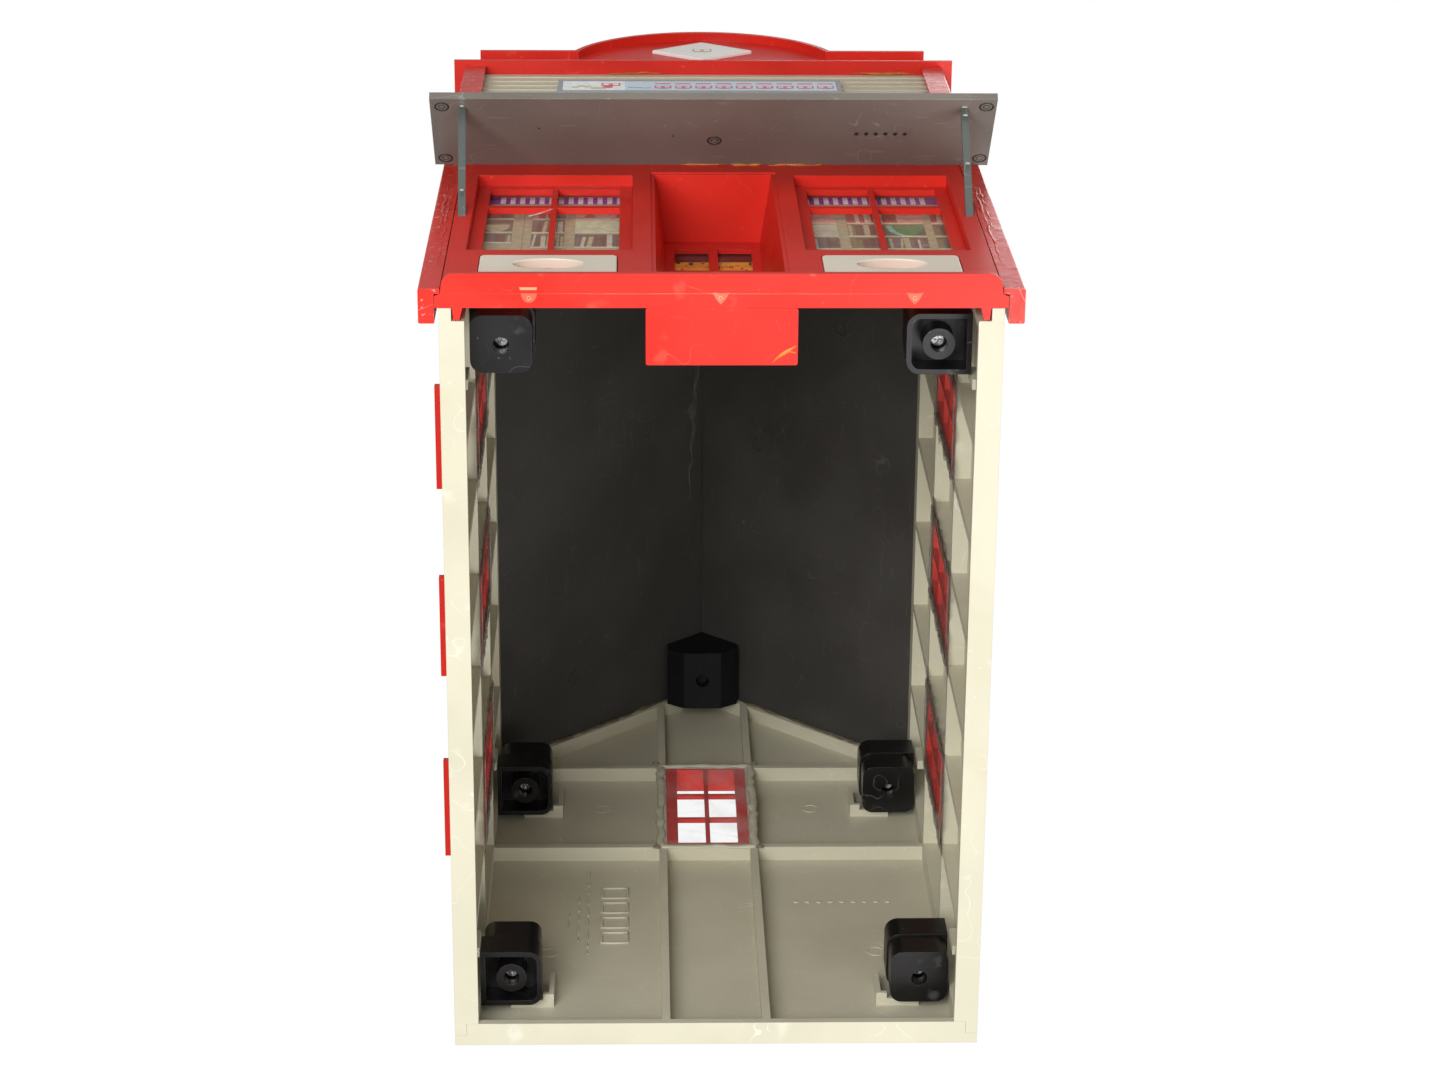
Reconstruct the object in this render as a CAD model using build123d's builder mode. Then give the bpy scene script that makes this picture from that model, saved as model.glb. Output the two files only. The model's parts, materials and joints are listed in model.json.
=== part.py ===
"""Large-scale plastic kit model of a false-front bookshop, seen as separate mouldings.

Millimetres. +Z is up and the shop front faces -Y. The origin is at the middle of the
footprint, on the ground. "Depth" is the distance behind the front face of the corner trims.
"""
from build123d import *
import math
import os

# ---------------------------------------------------------------- driving dimensions
BODY_W = 210.0            # across the outer faces of the side walls
BODY_D = 316.0            # front face of the corner trims to the outer face of the back wall
EAVE_Z = 253.0            # underside of the roof where it meets the ribs of the side walls
ROOF_PITCH = 43.0         # degrees
ROOF_T = 3.0
SIDE_OVERHANG = 10.0      # roof beyond the side walls
REAR_OVERHANG = 10.2      # roof beyond the back wall
CANOPY_REACH = 37.8       # canopy in front of the corner trims
SKIN = 3.0                # moulded wall thickness
RIB = 3.4                 # width of a stiffening rib
WALL_T = 9.5              # wall skin and ribs together
LAP = 5.4                 # inner layer of the half-lapped back corner
LIP = 4.7                 # outer lip of a side wall at its ends
BOARD = 8.5               # height of one clapboard
BOARD_STEP = 0.7          # how far the foot of a clapboard stands out

WINDOW_W = 37.0           # opening for a house window
WINDOW_H = 81.0
SIDE_WINDOW_Z = 76.0      # foot of the side window openings
SIDE_WINDOW_DEPTHS = (82.0, 163.0, 244.0)
BACK_WINDOW_Z = 164.0
UPPER_WINDOW_Z = 195.0
UPPER_WINDOW_X = 48.0
HOOD_REACH = 3.6
SILL_REACH = 6.5

SHOP_TOP = 184.0          # top of the red shopfront
SHOP_HALF = 104.0
CORNICE_Z = 370.0
CORNICE_T = 2.4
CORNICE_HALF = 117.5
COPING_TOP = 402.0
COPING_HALF = 106.5
ARCH_HALF = 61.0
ARCH_TOP = 444.0

HALF_W = BODY_W / 2
RIB_X = HALF_W - WALL_T   # rib faces of the side walls
FRONT_Y = (CANOPY_REACH - BODY_D - REAR_OVERHANG) / 2
BACK_Y = FRONT_Y + BODY_D
FRONT_WALL_IN = 12.5      # depth of the inner face of the front walls
SIDING_DEPTH = 3.5        # depth of the outer face of the upper front wall
TAN_PITCH = math.tan(math.radians(ROOF_PITCH))
RIDGE_Z = EAVE_Z + RIB_X * TAN_PITCH

os.makedirs("parts", exist_ok=True)


# ---------------------------------------------------------------- helpers
def at(depth):
    """Y coordinate of a depth behind the front face."""
    return FRONT_Y + depth


def front_plane(depth):
    """Upright plane across the building; its normal points to the street."""
    return Plane(origin=(0, at(depth), 0), x_dir=(1, 0, 0), z_dir=(0, -1, 0))


def side_plane(x):
    """Upright plane along the building; sketch x is Y and sketch y is Z."""
    return Plane(origin=(x, 0, 0), x_dir=(0, 1, 0), z_dir=(1, 0, 0))


def block(x, depth, z, mode=Mode.ADD):
    """Rectangular block between two x values, two depths and two heights."""
    size = [abs(pair[1] - pair[0]) for pair in (x, depth, z)]
    with Locations((sum(x) / 2, at(sum(depth) / 2), sum(z) / 2)):
        Box(*size, mode=mode)


def save(part, name):
    part.label = name
    export_step(part, f"parts/{name}.step")


def siding_points(height, first=0.0):
    """Saw-tooth outline of lapped boards: (stand-out, height) from the foot upwards."""
    points = []
    z = first
    while z < height - 0.01:
        top = min(z + BOARD, height)
        points += [(0.0, z), (-BOARD_STEP * (top - z) / BOARD, top)]
        z = top
    return points


def roof_line(x):
    """Height of the roof's underside above a given distance from the ridge."""
    return EAVE_Z + (RIB_X - abs(x)) * TAN_PITCH


# ---------------------------------------------------------------- walls
def side_wall(side, name):
    """Clapboard wall with three window openings and a grid of ribs inside."""
    outer = side * HALF_W
    skin_in = side * (HALF_W - SKIN)
    rib_in = side * RIB_X
    lip_in = side * (HALF_W - LIP)
    y_front, y_back = 7.5, BODY_D - LAP + 1.1
    rib_front, rib_back = FRONT_WALL_IN, BODY_D - WALL_T
    with BuildPart() as wall:
        with BuildSketch(front_plane(y_back)):
            with BuildLine():
                board = siding_points(EAVE_Z)
                outline = [(outer + side * dx, z) for dx, z in board]
                Polyline(*outline, (skin_in, EAVE_Z), (skin_in, 0), close=True)
            make_face()
        extrude(amount=y_back - y_front)
        block((lip_in, outer - side), (y_front, rib_front + RIB), (0, EAVE_Z))
        block((lip_in, outer - side), (rib_back - RIB, y_back), (0, EAVE_Z))
        ribs = (rib_in, skin_in)
        for foot in (0, SIDE_WINDOW_Z - RIB, SIDE_WINDOW_Z + WINDOW_H):
            block(ribs, (rib_front, rib_back), (foot, foot + RIB))
        block(ribs, (rib_front, rib_back), (roof_line(HALF_W) - RIB, EAVE_Z))
        for depth in (rib_front, rib_back - RIB):
            block(ribs, (depth, depth + RIB), (0, EAVE_Z))
        for middle in SIDE_WINDOW_DEPTHS:
            for edge in (middle - WINDOW_W / 2 - RIB, middle + WINDOW_W / 2):
                block(ribs, (edge, edge + RIB), (0, EAVE_Z))
        for middle in SIDE_WINDOW_DEPTHS:
            opening = (middle - WINDOW_W / 2, middle + WINDOW_W / 2)
            block((rib_in, outer + side), opening, (SIDE_WINDOW_Z, SIDE_WINDOW_Z + WINDOW_H), Mode.SUBTRACT)
        for foot in CLAMP_FEET:
            for near, beyond in ((FRONT_CLAMP_DEPTH + CLAMP_LEN, 1), (BACK_CLAMP_DEPTH, -1)):
                depth = (near + beyond * 0.5, near + beyond * BRACKET)
                block(ribs, depth, (foot - BRACKET, foot + 11))
        with BuildSketch(front_plane(BODY_D)):
            with BuildLine():
                far = side * (HALF_W + 5)
                near = side * (RIB_X - 5)
                Polyline((near, roof_line(near)), (far, roof_line(far)), (far, 300), (near, 300), close=True)
            make_face()
        extrude(amount=BODY_D, mode=Mode.SUBTRACT)
    save(wall.part, name)


def gable_outline(inset=0.0):
    """Outline of the back wall under the roof, pulled in by an inset."""
    half = HALF_W - inset
    drop = inset / math.cos(math.radians(ROOF_PITCH)) + 0.02
    Polyline(
        (-half, inset), (half, inset), (half, roof_line(half) - drop), (0, RIDGE_Z - drop),
        (-half, roof_line(half) - drop), close=True,
    )


def back_wall():
    """Gable wall with one window opening, ribs, and the clamp locating brackets."""
    inner_half = HALF_W - LIP - 0.05
    with BuildPart() as wall:
        with BuildSketch(front_plane(BODY_D)):
            with BuildLine():
                gable_outline()
            make_face()
        extrude(amount=LAP - 1.1)
        with BuildSketch(front_plane(BODY_D - LAP + 1.1)):
            with BuildLine():
                gable_outline()
            make_face()
            Rectangle(2 * inner_half, 4 * RIDGE_Z, mode=Mode.INTERSECT)
        extrude(amount=WALL_T - LAP + 1.1)
        with BuildSketch(front_plane(BODY_D - SKIN)):
            with BuildLine():
                gable_outline(RIB)
            make_face()
            with BuildLine():
                top = RIDGE_Z + 20
                Polyline((-RIB_X, 0), (RIB_X, 0), (RIB_X, top), (-RIB_X, top), close=True)
            make_face(mode=Mode.INTERSECT)
            for x in (-WINDOW_W / 2 - RIB / 2, WINDOW_W / 2 + RIB / 2):
                with Locations((x, RIDGE_Z / 2)):
                    Rectangle(RIB, RIDGE_Z + 10, mode=Mode.SUBTRACT)
            for foot in (BACK_WINDOW_Z - RIB, BACK_WINDOW_Z + WINDOW_H):
                with Locations((0, foot + RIB / 2)):
                    Rectangle(BODY_W, RIB, mode=Mode.SUBTRACT)
        extrude(amount=WALL_T, mode=Mode.SUBTRACT)
        block((-WINDOW_W / 2, WINDOW_W / 2), (BODY_D - WALL_T - 1, BODY_D + 1),
              (BACK_WINDOW_Z, BACK_WINDOW_Z + WINDOW_H), Mode.SUBTRACT)
        with BuildSketch(side_plane(0)):
            with BuildLine():
                boards = siding_points(RIDGE_Z)
                teeth = [(BACK_Y + dy, z) for dy, z in boards]
                Polyline(*teeth, (BACK_Y + 5, RIDGE_Z), (BACK_Y + 5, 0), close=True)
            make_face()
        extrude(amount=HALF_W + 5, both=True, mode=Mode.SUBTRACT)
        for foot in CLAMP_FEET:
            for side in (-1, 1):
                low = foot + BRACKET_FOOT
                post_x = (side * (CLAMP_IN - BRACKET), side * (CLAMP_IN - BRACKET + BRACKET_T))
                near_x = (side * (CLAMP_IN - BRACKET), side * (CLAMP_IN - 0.2))
                hidden_x = (near_x[1], side * (CLAMP_IN + 13))
                depth = (BODY_D - WALL_T + 0.6, BODY_D - SKIN)
                block(post_x, depth, (low, low + BRACKET_H))
                block(near_x, depth, (low, low + BRACKET_T))
                block(hidden_x, (BACK_CLAMP_DEPTH + CLAMP_LEN + 0.2, BODY_D - SKIN), (low, low + BRACKET_T))
    save(wall.part, "back_wall")


def upper_front_wall():
    """Clapboard upper storey of the false front, with two window openings."""
    top = CORNICE_Z
    with BuildPart() as wall:
        with BuildSketch(side_plane(-SHOP_HALF)):
            with BuildLine():
                boards = siding_points(top - SHOP_TOP)
                teeth = [(at(SIDING_DEPTH) - dy, SHOP_TOP + z) for dy, z in boards]
                skin_y = at(SIDING_DEPTH + SKIN)
                Polyline(*teeth, (skin_y, top), (skin_y, SHOP_TOP), close=True)
            make_face()
        extrude(amount=2 * SHOP_HALF)
        ribs = (SIDING_DEPTH + SKIN, FRONT_WALL_IN)
        inner = HALF_W - LIP - 0.05
        for foot in (SHOP_TOP, UPPER_WINDOW_Z + WINDOW_H, top - RIB):
            block((-inner, inner), ribs, (foot, foot + RIB))
        edges = [-inner, inner - RIB]
        for middle in (-UPPER_WINDOW_X, UPPER_WINDOW_X):
            edges += [middle - WINDOW_W / 2 - RIB, middle + WINDOW_W / 2]
        for edge in edges:
            block((edge, edge + RIB), ribs, (SHOP_TOP, top))
        for middle in (-UPPER_WINDOW_X, UPPER_WINDOW_X):
            opening = (middle - WINDOW_W / 2, middle + WINDOW_W / 2)
            block(opening, (0, FRONT_WALL_IN + 1), (UPPER_WINDOW_Z, UPPER_WINDOW_Z + WINDOW_H), Mode.SUBTRACT)
    save(wall.part, "upper_front_wall")


# ---------------------------------------------------------------- house windows
FRAME_GAP = 0.1           # clearance of a window frame in its opening
CASING = 4.0              # width of the casing round an opening
CASING_T = 1.4
JAMB_T = 1.5              # wall of the box that lines the opening
STILE = 5.1
RAIL = 1.6
BAR_W = 2.0
BAR_T = 2.0
BAR_Z = (27.0, 52.0)      # heights of the cross bars above the foot of the opening


def window_frame(plane, jamb_depth, name):
    """Red window moulding. Sketch x runs along the wall, sketch y is up; the normal is outwards."""
    half = WINDOW_W / 2
    with BuildPart() as frame:
        with BuildSketch(plane):
            with Locations((0, WINDOW_H / 2)):
                Rectangle(WINDOW_W + 2 * CASING, WINDOW_H + 2 * CASING)
                Rectangle(WINDOW_W - 2 * JAMB_T, WINDOW_H - 2 * JAMB_T, mode=Mode.SUBTRACT)
        extrude(amount=CASING_T)
        with BuildSketch(plane):
            with Locations((0, WINDOW_H / 2)):
                Rectangle(WINDOW_W - 2 * FRAME_GAP, WINDOW_H - 2 * FRAME_GAP)
                Rectangle(WINDOW_W - 2 * JAMB_T, WINDOW_H - 2 * JAMB_T, mode=Mode.SUBTRACT)
        extrude(amount=-jamb_depth)
        with BuildSketch(plane.offset(-jamb_depth)):
            with Locations((0, WINDOW_H / 2)):
                Rectangle(WINDOW_W - 2 * FRAME_GAP, WINDOW_H - 2 * FRAME_GAP)
                Rectangle(WINDOW_W - 2 * STILE, WINDOW_H - 2 * RAIL, mode=Mode.SUBTRACT)
                Rectangle(BAR_W, WINDOW_H - RAIL)
            for bar_z in BAR_Z:
                with Locations((0, bar_z)):
                    Rectangle(WINDOW_W - STILE, BAR_W)
        extrude(amount=BAR_T)
        with BuildSketch(plane):
            with Locations((0, -CASING - 1)):
                Rectangle(WINDOW_W + 2 * CASING - 2, 3.4)
        extrude(amount=SILL_REACH)
        with BuildSketch(plane):
            with Locations((0, WINDOW_H + CASING)):
                Rectangle(WINDOW_W + 2 * CASING + 3, 2.4)
        extrude(amount=HOOD_REACH)
        with BuildSketch(plane):
            with Locations((0, WINDOW_H + CASING + 3)):
                Rectangle(WINDOW_W + 2 * CASING, 4)
        extrude(amount=HOOD_REACH - 1.2)
        for x in (-half - CASING + 1.5, half + CASING - 1.5):
            with BuildSketch(plane):
                with Locations((x, WINDOW_H + CASING - 5)):
                    Rectangle(2.4, 8)
            extrude(amount=HOOD_REACH - 0.8)
    save(frame.part, name)


def window_frames():
    for side, word in ((-1, "left"), (1, "right")):
        for index, depth in enumerate(SIDE_WINDOW_DEPTHS, start=1):
            plane = Plane(
                origin=(side * HALF_W, at(depth), SIDE_WINDOW_Z),
                x_dir=(0, side, 0), z_dir=(side, 0, 0),
            )
            window_frame(plane, WALL_T - 0.1, f"{word}_window_frame_{index}")
    back = Plane(origin=(0, BACK_Y, BACK_WINDOW_Z), x_dir=(-1, 0, 0), z_dir=(0, 1, 0))
    window_frame(back, WALL_T - 0.1, "back_window_frame")
    for x, word in ((-UPPER_WINDOW_X, "left"), (UPPER_WINDOW_X, "right")):
        upper = Plane(origin=(x, at(SIDING_DEPTH), UPPER_WINDOW_Z), x_dir=(1, 0, 0), z_dir=(0, -1, 0))
        window_frame(upper, FRONT_WALL_IN - SIDING_DEPTH - 0.1, f"{word}_upper_window_frame")


GLAZING_T = 0.8
GLAZING_LAP = 1.4         # how far a pane overlaps the ribs round its opening


def window_glazing():
    """Clear panes glued over the openings from inside, one group for each wall."""
    gap = 0.02
    half = WINDOW_W / 2 + GLAZING_LAP
    low, high = -GLAZING_LAP, WINDOW_H + GLAZING_LAP
    for side, word in ((-1, "left"), (1, "right")):
        with BuildPart() as panes:
            x = (side * (RIB_X - gap), side * (RIB_X - gap - GLAZING_T))
            for depth in SIDE_WINDOW_DEPTHS:
                block(x, (depth - half, depth + half), (SIDE_WINDOW_Z + low, SIDE_WINDOW_Z + high))
        save(panes.part, f"{word}_window_glazing")
    with BuildPart() as pane:
        inner = BODY_D - WALL_T - gap
        block((-half, half), (inner - GLAZING_T, inner), (BACK_WINDOW_Z + low, BACK_WINDOW_Z + high))
    save(pane.part, "back_window_glazing")
    with BuildPart() as panes:
        depth = (FRONT_WALL_IN + gap, FRONT_WALL_IN + gap + GLAZING_T)
        for middle in (-UPPER_WINDOW_X, UPPER_WINDOW_X):
            block((middle - half, middle + half), depth, (UPPER_WINDOW_Z + low, UPPER_WINDOW_Z + high))
    save(panes.part, "upper_window_glazing")


# ---------------------------------------------------------------- shopfront
SHOP_FACE_T = 3.0
SHOP_WIN_X = (33.3, 97.1)
SHOP_WIN_Z = (52.7, 165.7)
RECESS_WALL = 1.6
ENTRY_HALF = 25.9
ENTRY_BACK_HALF = 20.0
ENTRY_TOP = 170.9
ENTRY_DEPTH = 30.0
PLINTH_T = 4.0
SASH_DEPTH = (4.7, 7.2)   # front of the sash and of its glass
KICK_X = (39.1, 91.1)
KICK_Z = (11.5, 43.7)
KICK_DEPTH = (-0.6, 3.4)
KICK_GAP = 0.4            # clearance of a kick panel in its pocket


def shopfront_frame():
    """Red shopfront: a face plate with two window recesses and the entry opening."""
    inner = HALF_W - LIP - 0.05
    with BuildPart() as shop:
        block((-SHOP_HALF, SHOP_HALF), (0, SHOP_FACE_T), (PLINTH_T, SHOP_TOP))
        for x in ((-inner, -inner + 2), (inner - 2, inner)):
            block(x, (0, FRONT_WALL_IN), (PLINTH_T, SHOP_TOP))
        block((-inner, inner), (0, FRONT_WALL_IN), (SHOP_TOP - 2, SHOP_TOP))
        for side in (-1, 1):
            x = (side * (SHOP_WIN_X[0] - RECESS_WALL), side * (SHOP_WIN_X[1] + RECESS_WALL))
            z = (SHOP_WIN_Z[0] - RECESS_WALL, SHOP_WIN_Z[1] + RECESS_WALL)
            block(x, (0, 11), z)
            backing_x = (side * (KICK_X[0] - RECESS_WALL), side * (KICK_X[1] + RECESS_WALL))
            backing_z = (KICK_Z[0] - RECESS_WALL, KICK_Z[1] + RECESS_WALL)
            block(backing_x, (0, KICK_DEPTH[1] + RECESS_WALL), backing_z)
        for side in (-1, 1):
            block([side * v for v in SHOP_WIN_X], (-1, 12), SHOP_WIN_Z, Mode.SUBTRACT)
            pocket_x = (side * (KICK_X[0] - KICK_GAP), side * (KICK_X[1] + KICK_GAP))
            pocket_z = (KICK_Z[0] - KICK_GAP, KICK_Z[1] + KICK_GAP)
            block(pocket_x, (-1, KICK_DEPTH[1]), pocket_z, Mode.SUBTRACT)
        block((-ENTRY_HALF, ENTRY_HALF), (-1, FRONT_WALL_IN + 1), (PLINTH_T - 1, ENTRY_TOP), Mode.SUBTRACT)
    save(shop.part, "shopfront_frame")


def entry_vestibule():
    """Open-fronted box that narrows towards the door."""
    front, back = 0.6, ENTRY_DEPTH - 0.1
    with BuildPart() as box:
        with BuildSketch(Plane.XY.offset(PLINTH_T)):
            with BuildLine():
                Polyline(
                    (-ENTRY_HALF, at(front)), (ENTRY_HALF, at(front)),
                    (ENTRY_BACK_HALF + RECESS_WALL, at(back)), (-ENTRY_BACK_HALF - RECESS_WALL, at(back)),
                    close=True,
                )
            make_face()
        extrude(amount=ENTRY_TOP - PLINTH_T - 0.1)
        with BuildSketch(Plane.XY.offset(PLINTH_T)):
            with BuildLine():
                Polyline(
                    (-ENTRY_HALF + RECESS_WALL, at(front)), (ENTRY_HALF - RECESS_WALL, at(front)),
                    (ENTRY_BACK_HALF, at(back)), (-ENTRY_BACK_HALF, at(back)), close=True,
                )
            make_face()
        extrude(amount=ENTRY_TOP - PLINTH_T - 0.1 - RECESS_WALL, mode=Mode.SUBTRACT)
    save(box.part, "entry_vestibule")


DOOR_PANES_X = (1.9, 16.0)
DOOR_ROWS = ((62.0, 118.0), (128.0, 160.0))
DOOR_T = 2.2
DOOR_SILL = 10.0


def entry_door():
    """Door and fanlight in one moulding, two panes wide."""
    half = ENTRY_BACK_HALF + RECESS_WALL
    with BuildPart() as door:
        block((-half, half), (ENTRY_DEPTH, ENTRY_DEPTH + DOOR_T), (DOOR_SILL, ENTRY_TOP - 0.1))
        for side in (-1, 1):
            for row in DOOR_ROWS:
                block([side * v for v in DOOR_PANES_X], (ENTRY_DEPTH - 1, ENTRY_DEPTH + 4), row, Mode.SUBTRACT)
        block((-15, 15), (ENTRY_DEPTH - 0.8, ENTRY_DEPTH), (14, 52))
        block((-12, 12), (ENTRY_DEPTH - 2, ENTRY_DEPTH - 0.2), (17, 49), Mode.SUBTRACT)
        with BuildSketch(front_plane(ENTRY_DEPTH)):
            with Locations((17.9, 56)):
                Circle(1.4)
        extrude(amount=3)
    save(door.part, "entry_door")
    with BuildPart() as glass:
        block((-17.5, 17.5), (ENTRY_DEPTH + DOOR_T + 0.05, ENTRY_DEPTH + DOOR_T + 0.85), (58, 163))
    save(glass.part, "door_glazing")
    with BuildPart() as card:
        block((-17.5, 17.5), (ENTRY_DEPTH + DOOR_T + 0.9, ENTRY_DEPTH + DOOR_T + 1.5), (58, 163))
    save(card.part, "door_print_card")


def shop_windows():
    """For each shop window: the red sash, its clear pane, and the printed display card."""
    front, glass = SASH_DEPTH
    stile, transom_z, transom_h, mullion = 5.2, 131.0, 3.8, 2.4
    for side, word in ((-1, "left"), (1, "right")):
        low, high = SHOP_WIN_X
        x = (side * (low + 0.1), side * (high - 0.1))
        z = (SHOP_WIN_Z[0] + 0.1, SHOP_WIN_Z[1] - 0.1)
        middle = side * (low + high) / 2
        with BuildPart() as sash:
            block(x, (front, glass), z)
            block((side * (low + stile), side * (high - stile)), (front - 1, glass + 1),
                  (z[0] + stile, z[1] - stile), Mode.SUBTRACT)
            block((middle - mullion / 2, middle + mullion / 2), (front, glass), z)
            block(x, (front, glass), (transom_z, transom_z + transom_h))
        save(sash.part, f"{word}_shop_window_sash")
        with BuildPart() as pane:
            block(x, (glass + 0.05, glass + 1.05), z)
        save(pane.part, f"{word}_shop_glazing")
        with BuildPart() as card:
            block(x, (glass + 2.4, glass + 3.0), z)
        save(card.part, f"{word}_display_card")


def kick_panels():
    """Thick cream panels under the shop windows, each with an oval hole."""
    hole_z, hole_half = 31.8, (13.2, 6.7)
    front, back = KICK_DEPTH
    back -= 0.05
    middle_x, middle_z = sum(KICK_X) / 2, sum(KICK_Z) / 2
    for side, word in ((-1, "left"), (1, "right")):
        with BuildPart() as panel:
            with BuildSketch(front_plane(back)):
                with Locations((side * middle_x, middle_z)):
                    RectangleRounded(KICK_X[1] - KICK_X[0], KICK_Z[1] - KICK_Z[0], 2.2)
                with Locations((side * middle_x, hole_z)):
                    Ellipse(*hole_half, mode=Mode.SUBTRACT)
            extrude(amount=back - front)
            face = panel.faces().sort_by(Axis.Y)[0]
            fillet(face.edges(), 0.5)
        save(panel.part, f"{word}_kick_panel")


def plinth():
    """Red base slab along the front, and the floor plate of the entry behind it."""
    nose, step, rear = -5.8, 2.05, 7.4
    with BuildPart() as bar:
        with BuildSketch(Plane.XY):
            with BuildLine():
                Polyline(
                    (-104.2, at(step)), (-103.4, at(nose)), (103.4, at(nose)), (104.2, at(step)), close=True,
                )
            make_face()
            fillet(vertices().filter_by(lambda v: v.Y < at(0)), 5.0)
            with BuildLine():
                Polyline(
                    (-104.2, at(step)), (104.2, at(step)), (106.4, at(step + 0.8)), (106.4, at(rear)),
                    (-106.4, at(rear)), (-106.4, at(step + 0.8)), close=True,
                )
            make_face()
        extrude(amount=PLINTH_T)
        fillet(bar.faces().sort_by(Axis.Y)[0].edges().sort_by(Axis.Z)[-1], 1.6)
        for side in (-1, 1):
            with BuildSketch(Plane.XY):
                with BuildLine():
                    Polyline(
                        (side * 96.1, at(rear)), (side * 100.0, at(rear)),
                        (side * 99.4, at(12.2)), (side * 97.3, at(12.2)), close=True,
                    )
                make_face()
            extrude(amount=PLINTH_T)
    save(bar.part, "plinth_bar")
    with BuildPart() as plate:
        with BuildSketch(Plane.XY):
            with Locations((0, at((rear + 0.05 + 29.6) / 2))):
                RectangleRounded(56.6, 29.6 - rear - 0.05, 0.9)
        extrude(amount=PLINTH_T - 0.05)
        sill_half = ENTRY_BACK_HALF - 0.3
        block((-sill_half, sill_half), (27.2, 29.6), (0, DOOR_SILL - 0.1))
    save(plate.part, "entry_floor_plate")


def corner_trims():
    """Red corner boards, L-shaped in plan, from the ground to the cornice."""
    for side, word in ((-1, "left"), (1, "right")):
        with BuildPart() as trim:
            block((side * 104.4, side * 112.5), (0, 2.0), (0, CORNICE_Z))
            block((side * 102.6, side * 112.5), (0, 2.0), (SHOP_TOP, CORNICE_Z))
            block((side * 106.6, side * 112.5), (0, 13.4), (0, CORNICE_Z))
            for foot in (60, 180, 300):
                block((side * (HALF_W + 0.02), side * 108), (8, 13), (foot, foot + 10))
            long_edges = trim.edges().filter_by(Axis.Z).sort_by(Axis.Y)
            fillet([e for e in long_edges if abs(e.center().X) > 112 and e.length > 300], 0.7)
        save(trim.part, f"{word}_corner_trim")


# ---------------------------------------------------------------- canopy
CANOPY_HALF = 116.0
CANOPY_T = 3.2
CANOPY_ANGLE = math.radians(42.2)
WALL_EDGE = SHOP_TOP - 0.4


def canopy():
    """Sloping roof over the pavement, with ejector marks underneath."""
    run = CANOPY_REACH - CANOPY_T * math.sin(CANOPY_ANGLE)
    slope = math.tan(CANOPY_ANGLE)
    plate_plane = Plane(
        origin=(0, at(0), WALL_EDGE),
        x_dir=(1, 0, 0),
        z_dir=(0, math.sin(CANOPY_ANGLE), -math.cos(CANOPY_ANGLE)),
    )
    with BuildPart() as plate:
        with BuildSketch(side_plane(-CANOPY_HALF)):
            with BuildLine():
                foot = (at(-run), WALL_EDGE - run * slope)
                lift = (at(-CANOPY_REACH), foot[1] + CANOPY_T * math.cos(CANOPY_ANGLE))
                Polyline(
                    (at(0), WALL_EDGE), foot, lift,
                    (at(0), WALL_EDGE + CANOPY_T / math.cos(CANOPY_ANGLE)), close=True,
                )
            make_face()
        extrude(amount=2 * CANOPY_HALF)
        with BuildSketch(plate_plane):
            marks = [(0, 23)]
            for x in (-108, 108):
                marks += [(x, 12), (x, 40)]
            with Locations(*[(x, -reach) for x, reach in marks]):
                Circle(2.9)
                Circle(2.3, mode=Mode.SUBTRACT)
        extrude(amount=-0.3, mode=Mode.SUBTRACT)
    save(plate.part, "canopy")


def canopy_struts():
    """Square rods that hold the outer edge of the canopy off the shopfront."""
    slope = math.tan(CANOPY_ANGLE)
    size = 3.0
    top_reach, foot_z = 31.0, 101.5
    foot_x, splay = 101.0, 1.9
    for side, word in ((-1, "left"), (1, "right")):
        top_z = WALL_EDGE - top_reach * slope
        rise = top_z - foot_z
        length = math.hypot(top_reach, rise)
        rod_plane = Plane(
            origin=(side * foot_x, at(-0.02), foot_z),
            x_dir=(1, 0, -side * splay / rise), z_dir=(side * splay, -top_reach, rise),
        )
        with BuildPart() as rod:
            with BuildSketch(rod_plane):
                with Locations((0, size / 2)):
                    Rectangle(size, size)
            extrude(amount=length + 6)
            with BuildSketch(rod_plane):
                with Locations((0, size / 2)):
                    Rectangle(size, size)
            extrude(amount=-6)
            block((side * 90, side * 112), (-0.02, 12), (foot_z - 20, foot_z + 40), Mode.SUBTRACT)
            with BuildSketch(side_plane(-CANOPY_HALF)):
                with BuildLine():
                    Polyline(
                        (at(0), WALL_EDGE - 0.03), (at(-CANOPY_REACH), WALL_EDGE - 0.03 - CANOPY_REACH * slope),
                        (at(-CANOPY_REACH), WALL_EDGE + 60), (at(0), WALL_EDGE + 60), close=True,
                    )
                make_face()
            extrude(amount=2 * CANOPY_HALF, mode=Mode.SUBTRACT)
        save(rod.part, f"{word}_canopy_strut")


# ---------------------------------------------------------------- top of the false front
def cornice():
    """Slab that caps the upper front wall."""
    with BuildPart() as slab:
        block((-CORNICE_HALF, CORNICE_HALF), (-2.6, 16), (CORNICE_Z, CORNICE_Z + CORNICE_T))
        fillet(slab.edges().filter_by(Axis.X).group_by(Axis.Z)[-1], 0.6)
    save(slab.part, "cornice")


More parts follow.
